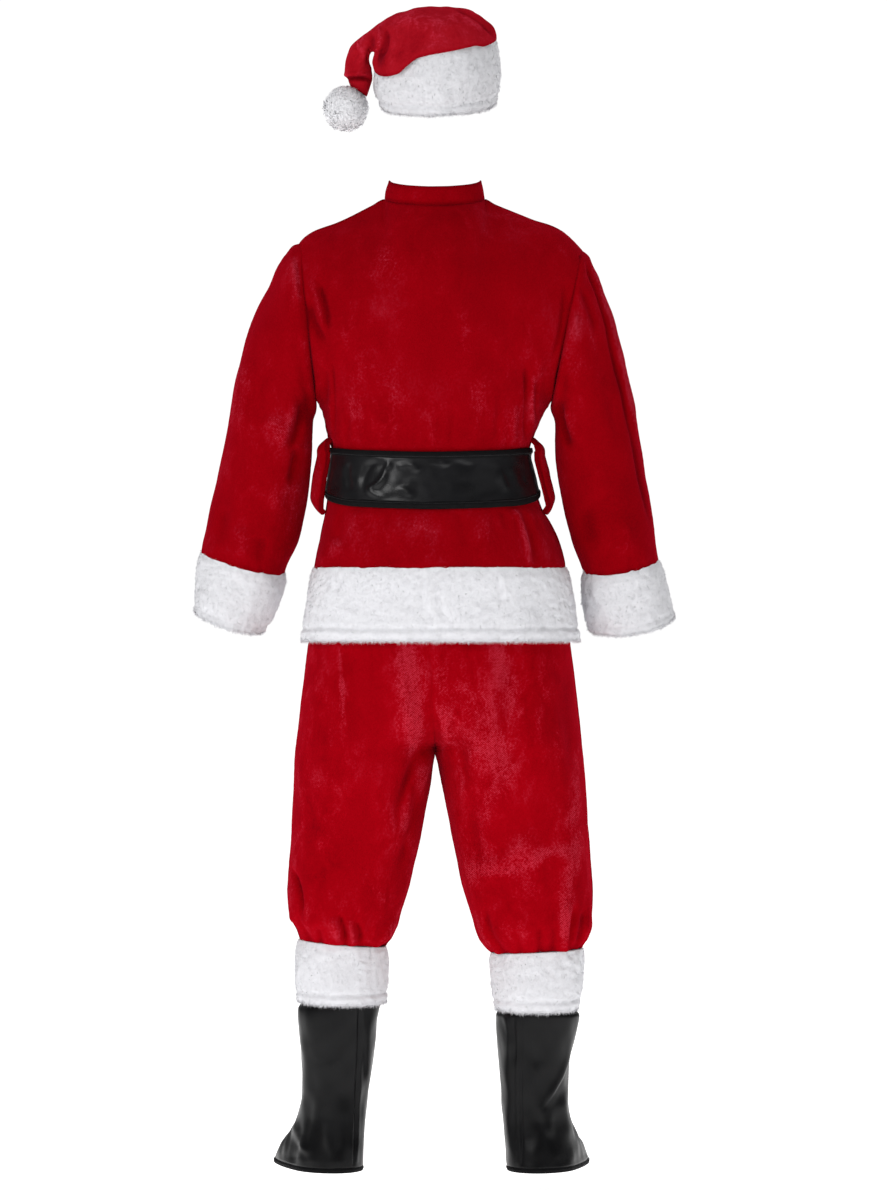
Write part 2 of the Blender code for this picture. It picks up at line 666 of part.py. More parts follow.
def add_buckle():
    """A plain square frame on the belt's front and the prong across it."""
    middle = np.array(1.5 * TURN)
    low, high = (belt(middle, np.array(share)) for share in (0.0, 1.0))
    slant = math.atan2(high[1] - low[1], high[2] - low[2])
    centre = (low + high) / 2
    out = belt_lift(middle) + STRAP + BINDING_RISE + REST + BUCKLE["depth"] / 2
    place = (centre[0], centre[1] - out * math.cos(slant), centre[2] + out * math.sin(slant))
    inner_width, inner_height = (BUCKLE[name] - 2 * BUCKLE["bar"] for name in ("width", "height"))
    frame = box("buckle_frame", (BUCKLE["width"], BUCKLE["depth"], BUCKLE["height"]), place, -slant, SUIT)
    window = box("buckle_window_cutter", (inner_width, 3 * BUCKLE["depth"], inner_height), place, -slant, CUTTERS)
    window.hide_render = True
    window.display_type = "WIRE"
    cut = frame.modifiers.new("window", "BOOLEAN")
    cut.object = window
    cut.operation = "DIFFERENCE"
    soften(frame, 1.2)
    prong = box("buckle_prong", (inner_width - 2 * SEAM, BUCKLE["depth"], PRONG_HEIGHT), place, -slant, SUIT)
    soften(prong, 1.0)


def add_belt_loops():
    for side, word in ((1, "left"), (-1, "right")):
        cloth_wall(f"belt_loop_{word}", loop_path(side), LOOP_ACROSS, LOOP_ARCH["along"], (0, LOOP_CLOTH), RED, -side)


def add_trousers():
    across = np.clip(steps(0, 1, TROUSER_SIDES), TROUSER_EDGE, 1 - TROUSER_EDGE)
    for leg, leg_word in ((1, "left"), (-1, "right")):
        for side, side_word in ((1, "back"), (-1, "front")):
            cloth_wall(f"trouser_{side_word}_{leg_word}", trouser(leg, side), across, TROUSER_ROWS["height"],
                       (-PLUSH, 0), RED, -leg * side, folds=pleats)
        cloth_wall(f"leg_band_{leg_word}", sections(LEG_BANDS[leg]), around(LEG_SIDES), (0.03, 1, 2), TRIM_FACES,
                   WHITE, -leg, True)
    outer = -PLUSH - REST
    cloth_wall("trouser_waist_casing", ring_at, all_round(), (CASING["bottom"], CASING["top"]),
               (outer - CASING["cloth"], outer), RED, 1, True)


def add_boot_covers():
    angles = around(LEG_SIDES)
    for leg, word in ((1, "left"), (-1, "right")):
        sole, *heights = BOOTS[leg]["height"][::-1]
        bound = sole + BOOT_BINDING
        cloth_wall(f"boot_cover_{word}", boot(leg), angles, (bound + BOOT_GAP, *heights), (-LEATHERETTE, 0), BLACK,
                   leg, True)
        cloth_wall(f"boot_binding_{word}", boot(leg), angles, (sole, bound), BOOT_BINDING_FACES, BLACK, leg, True)


def add_hat():
    angles = around(HAT_SIDES)
    cloth_wall("hat_band", sections(HAT_BAND), angles, (0.01, 0.6, 1.3, 2), (-3.5, 1.5), WHITE, 1, True)
    cloth_wall("hat_crown", sections(HAT_CROWN), angles, HAT_CROWN["along"], (-PLUSH, 0), RED, -1, True)


def add_pompom():
    """A ball that rests in the open tip of the hat's tail."""
    tip = {name: values[-1] for name, values in HAT_CROWN.items()}
    chord_x, chord_z = tip["inner"] - tip["outer"], tip["inner_height"] - tip["outer_height"]
    length = math.hypot(chord_x, chord_z)
    reach = math.sqrt((POMPOM_RADIUS + REST) ** 2 - (tip["half"] - PLUSH) ** 2)
    x = (tip["outer"] + tip["inner"]) / 2 - reach * chord_z / length
    z = (tip["outer_height"] + tip["inner_height"]) / 2 + reach * chord_x / length
    mesh = bpy.data.meshes.new("hat_pompom")
    build = bmesh.new()
    bmesh.ops.create_icosphere(build, subdivisions=3, radius=POMPOM_RADIUS * MM)
    build.to_mesh(mesh)
    build.free()
    mesh.shade_smooth()
    ball = add_object("hat_pompom", mesh, WHITE)
    ball.location = (x * MM, tip["centre"] * MM, z * MM)


reset_scene()
SUIT = bpy.data.collections.new("santa_suit")
CUTTERS = bpy.data.collections.new("cutters")
for group in (SUIT, CUTTERS):
    bpy.context.scene.collection.children.link(group)
ROOT = bpy.data.objects.new("suit_origin", None)
ROOT.location.z = -CARRY_HEIGHT * MM
SUIT.objects.link(ROOT)
RED = make_material("red_plush", (0.42, 0.006, 0.012), 0.85)
WHITE = make_material("white_plush", (0.86, 0.85, 0.84), 0.9)
BLACK = make_material("black_leatherette", (0.012, 0.012, 0.014), 0.35)
METAL = make_material("buckle_metal", (0.62, 0.60, 0.56), 0.3, 1.0)

add_jacket()
add_collar()
add_hem_band()
add_sleeves()
add_belt()
add_buckle()
add_belt_loops()
add_trousers()
add_boot_covers()
add_hat()
add_pompom()
bpy.context.view_layer.update()
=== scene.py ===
"""Looks of a worn plush suit: every cloth piece as a thin shell, its creases, its pile and its finish.

Surfaces repeat the suit's own tables, in millimetres above the floor. The suit faces -Y, its back is
towards +Y and its left side is at +X, so "left" is left in a view from behind.
"""

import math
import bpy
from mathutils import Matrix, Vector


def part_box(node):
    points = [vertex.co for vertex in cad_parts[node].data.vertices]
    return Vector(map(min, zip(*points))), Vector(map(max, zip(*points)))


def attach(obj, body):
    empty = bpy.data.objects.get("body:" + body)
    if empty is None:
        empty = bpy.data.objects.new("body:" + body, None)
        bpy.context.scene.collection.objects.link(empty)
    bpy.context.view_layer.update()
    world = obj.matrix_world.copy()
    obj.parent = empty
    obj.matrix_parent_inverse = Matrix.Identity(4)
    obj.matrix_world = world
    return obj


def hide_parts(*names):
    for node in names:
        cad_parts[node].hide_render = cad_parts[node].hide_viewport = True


bl_info = {
    "name": "Plush suit",
    "version": (1, 0, 0),
    "blender": (4, 5, 0),
    "location": "View3D > Sidebar > Plush suit",
    "description": "Builds a red plush suit with white fur trim, belt, boot covers and cap",
    "category": "Add Mesh",
}

import bpy
import numpy as np
from bpy.props import FloatProperty, FloatVectorProperty, PointerProperty
from mathutils import Vector

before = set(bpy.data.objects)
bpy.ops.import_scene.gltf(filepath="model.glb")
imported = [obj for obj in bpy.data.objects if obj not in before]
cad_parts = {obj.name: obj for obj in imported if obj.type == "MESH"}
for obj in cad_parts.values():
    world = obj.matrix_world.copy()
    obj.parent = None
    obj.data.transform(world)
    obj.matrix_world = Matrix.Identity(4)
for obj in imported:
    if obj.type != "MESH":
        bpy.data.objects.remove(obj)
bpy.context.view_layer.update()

MM = 0.001
CARRY_HEIGHT = 1527.0
TURN = math.pi
FACE_BACK = 1
FACE_FRONT = -1
FACE_UP = 0
SIDES = ((1, "left"), (-1, "right"))
NARROWEST_CUT = 0.0102
FAR_OFF = 1e3
SEEDS = {
    "jacket": 11, "collar": 21, "hem band": 31, "sleeve": 40, "sleeve band": 60, "belt": 70, "binding": 72,
    "belt loop": 81, "trousers": 90, "casing": 99, "leg band": 110, "boot cover": 120, "crown": 130,
    "cap band": 140, "pom-pom": 151, "pom-pom strands": 153,
}
# About how long each tube of cloth is round, in millimetres
ROUND = {
    "sleeve": 500, "sleeve band": 420, "belt": 860, "waist": 840, "leg band": 430, "boot cover": 480,
    "boot edge": 560, "crown": 560, "cap band": 600,
}


def columns(names, *rows):
    """A table's rows as one array for each named column."""
    return {name: np.array(values, float) for name, values in zip(names.split(), zip(*rows))}


# Sizes of the jacket
HEM_SEAM = 967.0
HEM_BAND = {"heights": (857, 966.4), "over": 1.8, "stitch": 17}
UNDERARM = 1223.0
JACKET_RINGS = columns(
    "height left right back front",
    (857, 206, -219.5, 148, -149), (967, 190, -201.5, 143, -144), (1011, 182, -188, 135, -138),
    (1054, 173, -168, 124, -130), (1078, 170, -159, 117, -124), (1115, 164.5, -150, 113, -121),
    (1156, 158, -141.5, 109, -117), (1172, 169, -154, 113, -119), (1197, 171, -162, 119, -123),
    (1212, 174, -168.5, 122, -125), (1223, 184, -177, 124, -127),
)
RING_POWER = 2.3
SHOULDER_RISE = columns(
    "rise back back_height front front_height leave",
    (0, 124, 1223, -127, 1223, 0), (0.25, 131, 1290, -134, 1285, 36), (0.50, 134, 1362, -130, 1345, 45),
    (0.70, 127, 1424, -116, 1398, 46), (0.85, 106, 1476, -96, 1434, 46), (1, 64, 1527, -72, 1462, 46),
)
ARMHOLE = {1: ((214.0, 1471.0), (184.0, UNDERARM)), -1: ((-229.0, 1460.0), (-177.0, UNDERARM))}
ARMHOLE_DEPTH = 82.0
SHOULDER_LINE = columns(
    "across height",
    (-229, 1460), (-213, 1477), (-197, 1491.5), (-178, 1501), (-152, 1509), (-124, 1520), (-92, 1533),
    (-76, 1541), (80, 1541), (102, 1530), (154, 1505), (191, 1491.5), (204, 1482), (214, 1471),
)
NECK_CENTRE = 2.0
NECK_HALF = 78.0
NECK_SIDE = 1541.0
NECK_MIDDLE = {1: (64.0, 1527.0), -1: (-72.0, 1462.0)}
NECK_SHARE = 1 / 3
YOKE_FADE = 2.5
YOKE_BLEND = 0.55
ROW_BLEND = 0.07
YOKE_WEIGHTS = ((-1, 0.1), (-0.66, 0.15), (-0.33, 0.16), (0, 0.18), (0.33, 0.16), (0.66, 0.15), (1, 0.1))
OVERLAP_LIFT = {"jacket": 4.2, "band": 7.4}
LAP_RISE = (math.radians(58), math.radians(80))
FRONT_EDGE = {"left": math.radians(98), "right": math.radians(82)}
COLLAR_HEIGHT = 27.0
COLLAR_LEAN = 5.0
COLLAR_CLEAR = 3.6
COLLAR_SEAT = 1.2
COLLAR_DIP = (math.radians(60), math.radians(90))
COLLAR_GAP = 0.15
COLLAR_CLOTH = 3.0
COLLAR_ROLL = {"lift": 0.9, "width": 12, "wave": 0.6, "size": 40, "sunk": 0.6}
SEAM_LAP = 0.004
TROUSER_LAP = 0.014
# Jacket panels: side, first and last angle, length across
PANELS = {
    "back": (FACE_BACK, -SEAM_LAP, TURN + SEAM_LAP, 560),
    "front_left": (FACE_FRONT, -SEAM_LAP, FRONT_EDGE["left"], 310),
    "front_right": (FACE_FRONT, FRONT_EDGE["right"], TURN + SEAM_LAP, 310),
}

# Relief and pile. Waves are (depth, size, stretch up the cloth); grooves and swells are (depth, width);
# stretches of height are where an effect starts, is full, starts to fade and ends
RED_WAVES = ((1.3, 110, 2.4), (0.7, 42, 2.0))
RED_GRAIN = (0.12, 9)
SEAM_GROOVE = 2.6
SEAM_EASE = (-4, 12)
END_EASE = (-4, 10)
END_GROOVE = (0.8, 3.0)
CREASE_DEEP = 2.0
JACKET_GATHERS = (0.9, 30)
BLOUSED = (1156, 1164, 1168, 1212)
FLARED = (1004, 1036, 1048, 1060)
BELTED = (1048, 1062, 1145, 1158)
BELT_PRESS = 1.2
UNDERARM_SWELL = {"lift": 3.4, "height": 1238.0, "tall": 17.0, "from_seam": 16.0, "aside": (118, 146)}
SLEEVE_HEAD = {"at": 16, "roll": (2.2, 9), "seam": (3.0, 5.0), "flat": (5, 20)}
SLEEVE_CUFF = {"gathers": (1.3, 20), "reach": 26, "ease": (-6, 14)}
LEG_GATHERS = {"gathers": (1.3, 26), "reach": (388, 452), "tuck": 1.5, "tuck_reach": (384, 392)}
LEG_HIDDEN = (846, 900)
CASING_GATHERS = (0.6, 14)
TRIM_WAVES = ((0.9, 70, 1.0), (0.55, 24, 1.0))
TRIM_TUFTS = {"low": 0.3, "high": 0.65, "size": 11, "patch": 110}
TRIM_PLUMP = {"lift": 1.6, "from_seam": 22, "from_edge": 12}
TRIM_SEAM = (1.4, 4.5)
TRIM_SIDE = (1.0, 3.0)
STITCH_LINE = (2.4, 3.4)
STITCH_WANDER = (1.2, 60, 9)
STITCH_ROLL = {"lift": 1.2, "at": 0.45, "width": 0.38}
BELT_WAVES = ((0.6, 70, 1.0), (0.22, 22, 1.0))
BELT_DEEP = 1.7
BELT_EASE = (0, 14)
BOOT_WAVES = ((1.2, 80, 2.2), (0.5, 30, 1.8))
BOOT_EASE = (-2, 12)
CAP_WAVES = ((1.2, 70, 1.0), (0.5, 26, 1.0))
CAP_DEEP = 1.5
CAP_EDGE = {"at": 5, "roll": (0.8, 5), "top": (0, 12), "tip": (-4, 8)}
LOOP_EDGE = {"at": 7, "roll": (0.9, 4), "fold": (2.2, 3.0)}
# Painted light in the pile's colour: ridges and swells lighter, troughs darker, and painted shade along seams
# and at a piece's ends
RIDGE_PAINTED_LIGHT = 0.5
PAINTED_LIGHT_CREASE_WIDTH = 5.5
SWELL_PAINTED_LIGHT = 0.2
SEAM_PAINTED_SHADE = (0.9, 3.6)
END_PAINTED_SHADE = (0.5, 5.0)
LINING_STRIDE = 3
FRINGE_ROWS = 7
FRINGE = {"density": 3, "length": 1.7, "lean": 1.0, "stand": 0.35}
STRANDS_SEED = 50
FRINGE_SEED = 70

# Sizes of the sleeves and their bands
SECTION_COLUMNS = "along outer outer_height inner inner_height centre half tilt"
SLEEVES = {
    1: columns(
        SECTION_COLUMNS,
        (0, 214, 1471, 184, 1223, 0, 82, 0), (1, 231, 1458, 187, 1215, 0, 84, 0),
        (2, 244, 1440, 189.5, 1207, -1, 85, 0), (3, 260, 1407, 191.5, 1196, -2, 84, 1),
        (4, 278, 1369, 193, 1181, -4, 82, 2), (5, 294, 1326, 194, 1162, -7, 80, 3),
        (6, 308, 1270, 194.5, 1138, -10, 78, 4), (7, 319, 1213, 197, 1107, -14, 76, 6),
        (8, 338, 1122, 204, 1058, -23, 73, 8), (9, 354, 1048, 214, 1012, -30, 70, 10),
        (10, 367, 996, 235, 961, -36, 68, 10),
    ),
    -1: columns(
        SECTION_COLUMNS,
        (0, -229, 1460, -177, 1223, 0, 82, 0), (1, -236, 1448, -179.5, 1214, 0, 84, 0),
        (2, -248, 1421, -181.5, 1205, -1, 85, 0), (3, -258, 1394, -183.5, 1193, -2, 84, 1),
        (4, -271, 1360, -185, 1178, -4, 82, 2), (5, -286, 1316, -186, 1160, -7, 80, 3),
        (6, -298, 1264, -187, 1138, -10, 78, 4), (7, -308, 1218, -190, 1112, -14, 76, 6),
        (8, -324, 1132, -198, 1063, -23, 73, 9), (9, -336, 1056, -211, 1012, -30, 70, 11),
        (10, -346, 982, -230, 963, -36, 68, 11),
    ),
}
SLEEVE_BANDS = {
    1: columns(
        SECTION_COLUMNS,
        (0, 367, 996, 235, 961, -36, 67, 10), (1, 371, 965, 244, 923, -40, 66, 11),
        (2, 374.5, 903, 271, 871, -46, 60, 12),
    ),
    -1: columns(
        SECTION_COLUMNS,
        (0, -346, 982, -230, 963, -36, 67, 11), (1, -356, 948, -231, 921, -40, 66, 14),
        (2, -370, 894, -239, 876, -46, 62, 18),
    ),
}

# Sizes of the belt and its loops
BELT_EDGES = columns(
    "angle bottom top",
    (-30, 1073, 1152), (0, 1082, 1153), (25, 1071, 1151), (48, 1062.5, 1147), (90, 1058, 1143.5),
    (132, 1062.5, 1147), (155, 1071, 1151), (180, 1082, 1153), (225, 1068, 1150), (270, 1066, 1147),
    (315, 1068, 1150), (360, 1082, 1153), (390, 1071, 1151),
)
BELT_REST = 0.9
BELT_OVER_LAP = (math.radians(15), math.radians(30))
BINDING_SHARE = 0.1
BINDING_GAP = 0.004
BINDING_RISE = 1.2
BINDING_CLOTH = 3.6
BINDING_ROLL = {"lift": 1.2, "width": 3.6, "sunk": 0.8, "wave": 0.25, "size": 30}
STRAP = 3.0
LOOP_ACROSS = (math.radians(-4), math.radians(15))
LOOP_LEAN = math.radians(8.75)
LOOP_CLOTH = 6.5
LOOP_THICK = 5.0
LOOP_SLIT = {1: 0.0, -1: 5.0}
BELT_PROUD = 7.0
LOOP_ARCH = columns(
    "along height stand_off",
    (0, 1164, 0.95), (1, 1159, 8), (2, 1148, 17.5), (3, 1112, 19.5), (4, 1080, 18.5), (5, 1068, 13),
    (6, 1060, 6), (7, 1056, 0.95),
)

# Sizes of the trousers and leg bands
TROUSER_ROWS = columns(
    "height outer_left outer_right middle part_left part_right back front start",
    (386, 212, -228, -3, 79, 81, 66, -66, 180), (400, 216, -236, -3, 71, 70, 76, -76, 180),
    (422, 228, -243, -2, 62, 58, 88, -87, 180), (466, 230, -243, -1, 46, 42, 95, -93, 180),
    (550, 223.5, -237, 0, 23.5, 25, 105, -101, 180), (617, 220.5, -233, 0, 11.5, 12, 115, -110, 180),
    (662, 219, -230, 1, 4, 5, 122, -117, 180), (683, 218, -228.5, 1, 0.15, 0.15, 124, -119, 180),
    (702, 216.5, -226.5, 2, 0.15, 0.15, 127, -121, 148), (727, 214, -224, 3, 0.15, 0.15, 130, -124, 126),
    (762, 210, -220.5, 5, 0.15, 0.15, 134, -128, 108), (803, 204.5, -215.5, 7, 0.15, 0.15, 137, -131, 96),
    (900, 190, -202, 9, 0.15, 0.15, 135, -131, 90), (1000, 173.5, -176, 8, 0.15, 0.15, 124, -125, 90),
    (1040, 167.5, -160, 8, 0.15, 0.15, 116, -121, 90),
    (1086.6, 163.8, -152.3, 8, 0.15, 0.15, 109.5, -117.5, 90),
)
TROUSER_REACH = (386, 1086)
TROUSER_POWER = 2.2
CUFF_TILT = {1: 5.5, -1: 3.5}
CUFF_DROP = {1: 0.0, -1: -11.5}
CUFF_REACH = (386.0, 470.0)
CASING = {"bottom": 1088.4, "top": 1121.0, "cloth": 4.0, "inset": 3.6}
LEG_BANDS = {
    1: columns(
        SECTION_COLUMNS,
        (0, 214.5, 391.2, 78, 380.2, 0, 66, 0), (1, 215, 345, 77, 338, 0, 66, 1),
        (2, 213.5, 297, 80, 296, 0, 65, 2),
    ),
    -1: columns(
        SECTION_COLUMNS,
        (0, -229.5, 377.7, -86, 370.7, 0, 66, 0), (1, -227, 331, -88, 328, 0, 66, 1),
        (2, -220.5, 286, -94.5, 285, 0, 64, 2),
    ),
}

# Sizes of the boot covers
BOOT_COLUMNS = "height centre half heel toe turn"
BOOTS = {
    1: columns(
        BOOT_COLUMNS,
        (306, 146.8, 62.6, 61, 61, 0), (295, 146.8, 62.6, 61, 61, 0), (284, 151.5, 64, 61, 61, 2),
        (262, 153.5, 62, 60, 62, 6), (205, 154, 56, 56, 61, 12), (150, 156, 51, 54, 66, 18),
        (118, 159, 50, 56, 80, 22), (92, 163, 51, 60, 105, 24), (64, 167, 52.5, 67, 145, 25),
        (36, 170, 53.5, 71, 168, 25),
    ),
    -1: columns(
        BOOT_COLUMNS,
        (295, -157.5, 59, 60, 60, 0), (284, -157.5, 59, 60, 60, 0), (273, -158, 65, 61, 61, 2),
        (256, -156.5, 64, 60, 62, 5), (205, -153, 56, 56, 61, 10), (145, -152.5, 51, 54, 68, 15),
        (115, -155, 50.5, 56, 82, 18), (92, -158.5, 51, 60, 105, 19), (64, -163, 52.5, 67, 142, 20),
        (36, -165.5, 53.5, 71, 166, 20),
    ),
}
BOOT_BINDING = 6.0
BOOT_CLOTH = 1.6
BOOT_TAPE = {"over": 0.8, "cloth": 3.2}
POMPOM_ROWS = 40
POMPOM_COLUMNS = 72
POMPOM_PILE = {
    "per_square_mm": 0.9, "length": 8.5, "lean": 0.9, "stand": 0.45, "width": 1.1, "comb": (0.0, 0.0, -0.1),
}
POMPOM_WAVES = ((0.028, 26, 1.0), (0.016, 9, 1.0))

# Sizes of the cap
HAT_BAND = columns(
    SECTION_COLUMNS,
    (0, -92, 1789, 92, 1758, 4, 99, 14), (1, -98, 1745, 94.5, 1722, -4, 104, 14),
    (2, -92, 1692, 84, 1686, -14, 101, 14),
)
HAT_CROWN = columns(
    SECTION_COLUMNS,
    (0, -92, 1789.6, 92, 1758.6, 4, 99, 14), (1, -90, 1803, 93.5, 1764, 5, 97, 12),
    (2, -79, 1817, 95.5, 1767.5, 5, 93, 10), (3, -56, 1831, 98, 1769, 4, 87, 8),
    (4, -26, 1838.5, 100.5, 1769, 2, 79, 6), (5, 14, 1839.5, 102.5, 1768, 0, 69, 4),
    (6, 54, 1833, 104, 1765, -3, 58, 2), (7, 86, 1817, 105, 1761, -6, 47, 0),
    (8, 112, 1799, 103, 1755, -9, 38, 0), (9, 134, 1772, 100, 1746, -12, 30, 0),
    (10, 143.5, 1738, 99.5, 1730, -14, 22, 0), (11, 133, 1716, 107, 1703, -16, 12, 0),
)
# Where the red crown's edge lies on the band, by the angle from the left side over the back: its lift above
# the band's top and how far it laps out
CROWN_EDGE = columns(
    "angle lift lap",
    (-180, -12, 4), (-150, 0, 2), (-90, 3, 2), (-30, 0, 2), (0, 0, 2), (35, 0, 2), (52, 6, 2), (90, 6.5, 2),
    (106, 4.5, 3), (117, -6.6, 6), (127, -18.6, 8), (142, -22, 9), (157, -19, 8), (175, -12, 5),
    (180, -12, 4),
)

# Studio: each light's place, aim, size and power setting
LIGHTS = (
    ("key_light", (2.6, 4.2, 2.2), (0, 0, -0.5), 2.2, "key_power"),
    ("fill_light", (-3.4, 3.6, 0.6), (0, 0, -0.6), 2.6, "fill_power"),
    ("front_key_light", (-2.6, -4.2, 2.2), (0, 0, -0.5), 2.2, "key_power"),
    ("front_fill_light", (3.4, -3.6, 0.6), (0, 0, -0.6), 2.6, "fill_power"),
    ("top_light", (0, 0.2, 3.6), (0, 0, 0), 2.0, "top_power"),
)
CAMERA_PLACE = (-0.0124, 8.0, -0.609)
SENSOR = 36
FLOOR_SIZE = 120


def crease_table(*rows):
    """A table of creases, each from (x, height) to (to_x, to_height) on one side.

    A trough has a negative depth, and skew makes the crease's left side wide and its right side steep.
    """
    return columns("x height to_x to_height bow width depth skew", *rows)


# Creases of the pieces
JACKET_CREASES = {
    FACE_BACK: crease_table(
        (184, 1408, 166, 1330, -3, 5, -3.6, 0.3), (190, 1412, 173, 1338, -3, 6, 2.6, 0),
        (196, 1376, 168, 1312, 4, 8, -3, -0.3), (166, 1276, 172, 1220, 0, 7, -2.2, 0.2),
        (160, 1290, 157, 1172, 0, 2, -1.8, 0), (165, 1282, 162, 1182, 0, 5, 1.6, 0),
        (134, 1206, 136, 1158, 2, 5, -1.6, 0), (116, 1222, 112, 1158, -2, 7, 1.3, 0),
        (90, 1186, 94, 1158, 0, 5, -1, 0.3), (48, 1204, 54, 1158, 3, 9, -1, 0),
        (6, 1188, 2, 1156, 0, 10, 1, 0), (-26, 1210, -20, 1156, 0, 6, -1.2, 0),
        (-70, 1196, -72, 1156, -3, 8, -0.8, 0.3), (-100, 1228, -96, 1158, 2, 5, -1.6, 0),
        (-121, 1216, -118, 1158, 0, 6, 1.6, 0), (-138, 1272, -137, 1166, -2, 4.5, -4.2, 0.35),
        (-146, 1262, -145, 1172, 0, 6, 2.6, 0), (-158, 1256, -154, 1196, 3, 5, -2.6, -0.3),
        (-164, 1290, -148, 1180, 5, 8, 2, 0), (-200, 1400, -180, 1290, -6, 8, -2.6, 0.4),
        (80, 1480, 40, 1330, 14, 26, 1, 0), (-60, 1470, -90, 1320, -12, 30, -1.6, 0),
        (20, 1380, -10, 1240, 10, 28, -1.4, 0), (120, 1360, 96, 1240, 8, 22, 1, 0),
        (-118, 1060, -142, 974, -4, 5, 4, 0.5), (-128, 1056, -154, 974, -4, 8, -3.2, 0),
        (142, 1062, 150, 1006, 2, 6, -1.4, 0), (116, 1060, 126, 980, 2, 12, 1.2, 0),
        (70, 1062, 74, 1030, 0, 6, -0.9, 0.2), (22, 1060, 16, 984, 2, 14, 1, 0),
        (-30, 1060, -44, 996, -2, 8, -1.2, 0), (-64, 1060, -78, 980, -3, 13, 1.4, 0),
        (-96, 1062, -106, 1024, -3, 6, -1.4, 0.2), (150, 1010, 176, 970, 0, 14, 2.2, 0),
    ),
    FACE_FRONT: crease_table(
        (172, 1404, 140, 1310, 5, 9, -2, 0.3), (184, 1390, 160, 1300, 5, 10, 1.8, 0),
        (-180, 1396, -150, 1296, -5, 9, -2, -0.3), (-190, 1360, -168, 1270, -4, 10, 1.8, 0),
        (150, 1260, 140, 1164, 0, 7, -2, 0.2), (122, 1216, 126, 1160, 2, 8, 2.4, 0),
        (92, 1196, 96, 1158, 0, 7, -1.4, 0), (58, 1226, 64, 1158, 2, 9, 2.2, 0),
        (30, 1190, 34, 1158, 0, 7, -1.2, 0.3), (-34, 1214, -30, 1158, 0, 8, -2.6, 0),
        (-64, 1226, -60, 1158, -2, 9, 2.4, 0), (-96, 1206, -94, 1158, 0, 7, -1.6, -0.3),
        (-132, 1240, -128, 1162, -2, 8, -1.8, 0), (60, 1440, 76, 1330, 8, 24, 1.8, 0),
        (-70, 1430, -60, 1300, -8, 26, -1.8, 0), (120, 1060, 138, 980, 2, 8, -2, 0.4),
        (84, 1060, 92, 992, 2, 9, 2.4, 0), (46, 1060, 50, 1016, 0, 7, -1.2, 0),
        (-42, 1060, -48, 990, -2, 9, 2.4, 0), (-78, 1060, -90, 1000, -2, 8, -1.6, 0),
        (-120, 1060, -140, 976, -4, 8, 3, 0.4),
    ),
}
SLEEVE_CREASES = {
    1: {
        FACE_BACK: crease_table(
            (206, 1446, 198, 1376, 2, 6, -3.2, 0.2), (214, 1440, 210, 1380, 0, 7, 2.4, 0),
            (196, 1240, 206, 1190, -3, 8, -2.5, 0.2), (204, 1226, 224, 1150, -4, 7, -3.8, -0.3),
            (218, 1228, 240, 1158, -3, 8, 2.4, 0), (213, 1150, 226, 1096, -2, 9, -5.5, 0.3),
            (232, 1160, 262, 1200, 4, 14, 2.4, 0), (214, 1112, 250, 1060, 5, 16, 2.2, 0),
            (244, 1420, 262, 1330, 8, 22, -1.8, 0), (286, 1290, 300, 1180, 8, 20, 2, 0),
            (330, 1060, 336, 1006, 0, 12, -2.2, 0), (268, 1016, 272, 976, 0, 10, -2.4, 0),
            (300, 1030, 300, 984, 0, 12, 2.2, 0),
        ),
        FACE_FRONT: crease_table(
            (210, 1250, 260, 1210, 8, 12, -5, 0.2), (204, 1212, 268, 1176, 8, 12, -4.4, 0),
            (214, 1180, 276, 1140, 8, 14, 3.4, 0), (216, 1146, 270, 1104, 8, 13, -4, 0.2),
            (232, 1420, 250, 1330, 6, 18, -2.4, 0), (270, 1040, 290, 984, 0, 12, -2.6, 0),
            (310, 1060, 330, 996, 0, 14, 2.4, 0),
        ),
    },
    -1: {
        FACE_BACK: crease_table(
            (-229, 1444, -272, 1308, -5, 3.5, -3.6, 0), (-268, 1324, -300, 1180, -3, 3.5, -3.4, 0),
            (-298, 1196, -334, 1036, 0, 3.5, -2, 0), (-238, 1440, -281, 1308, -5, 5.5, 3.4, 0),
            (-277, 1324, -309, 1180, -3, 5.5, 3.4, 0), (-222, 1400, -246, 1330, -3, 6, -2.4, 0.2),
            (-208, 1400, -222, 1350, 3, 8, -2.4, -0.3), (-216, 1376, -206, 1310, -4, 9, 1.4, 0),
            (-240, 1340, -262, 1240, -5, 14, -1.6, 0), (-262, 1240, -284, 1150, -5, 13, -1.2, 0.2),
            (-194, 1280, -196, 1216, 0, 7, -1.6, 0.2), (-188, 1222, -206, 1154, 3, 8, -5.4, 0.3),
            (-198, 1216, -220, 1160, 3, 10, 3, 0), (-240, 1120, -262, 1080, 5, 18, 2.2, 0),
            (-230, 1060, -246, 1000, 3, 14, -2, 0), (-290, 1040, -300, 990, 0, 12, 2, 0),
        ),
        FACE_FRONT: crease_table(
            (-204, 1246, -252, 1214, -8, 12, -5, 0), (-198, 1206, -260, 1176, -8, 12, -4.4, 0.2),
            (-208, 1172, -268, 1136, -8, 14, 3.4, 0), (-214, 1136, -262, 1100, -8, 13, -4, 0),
            (-244, 1410, -258, 1320, -6, 18, -2.4, 0), (-262, 1040, -280, 984, 0, 12, -2.6, 0),
            (-302, 1050, -318, 992, 0, 14, 2.4, 0),
        ),
    },
}
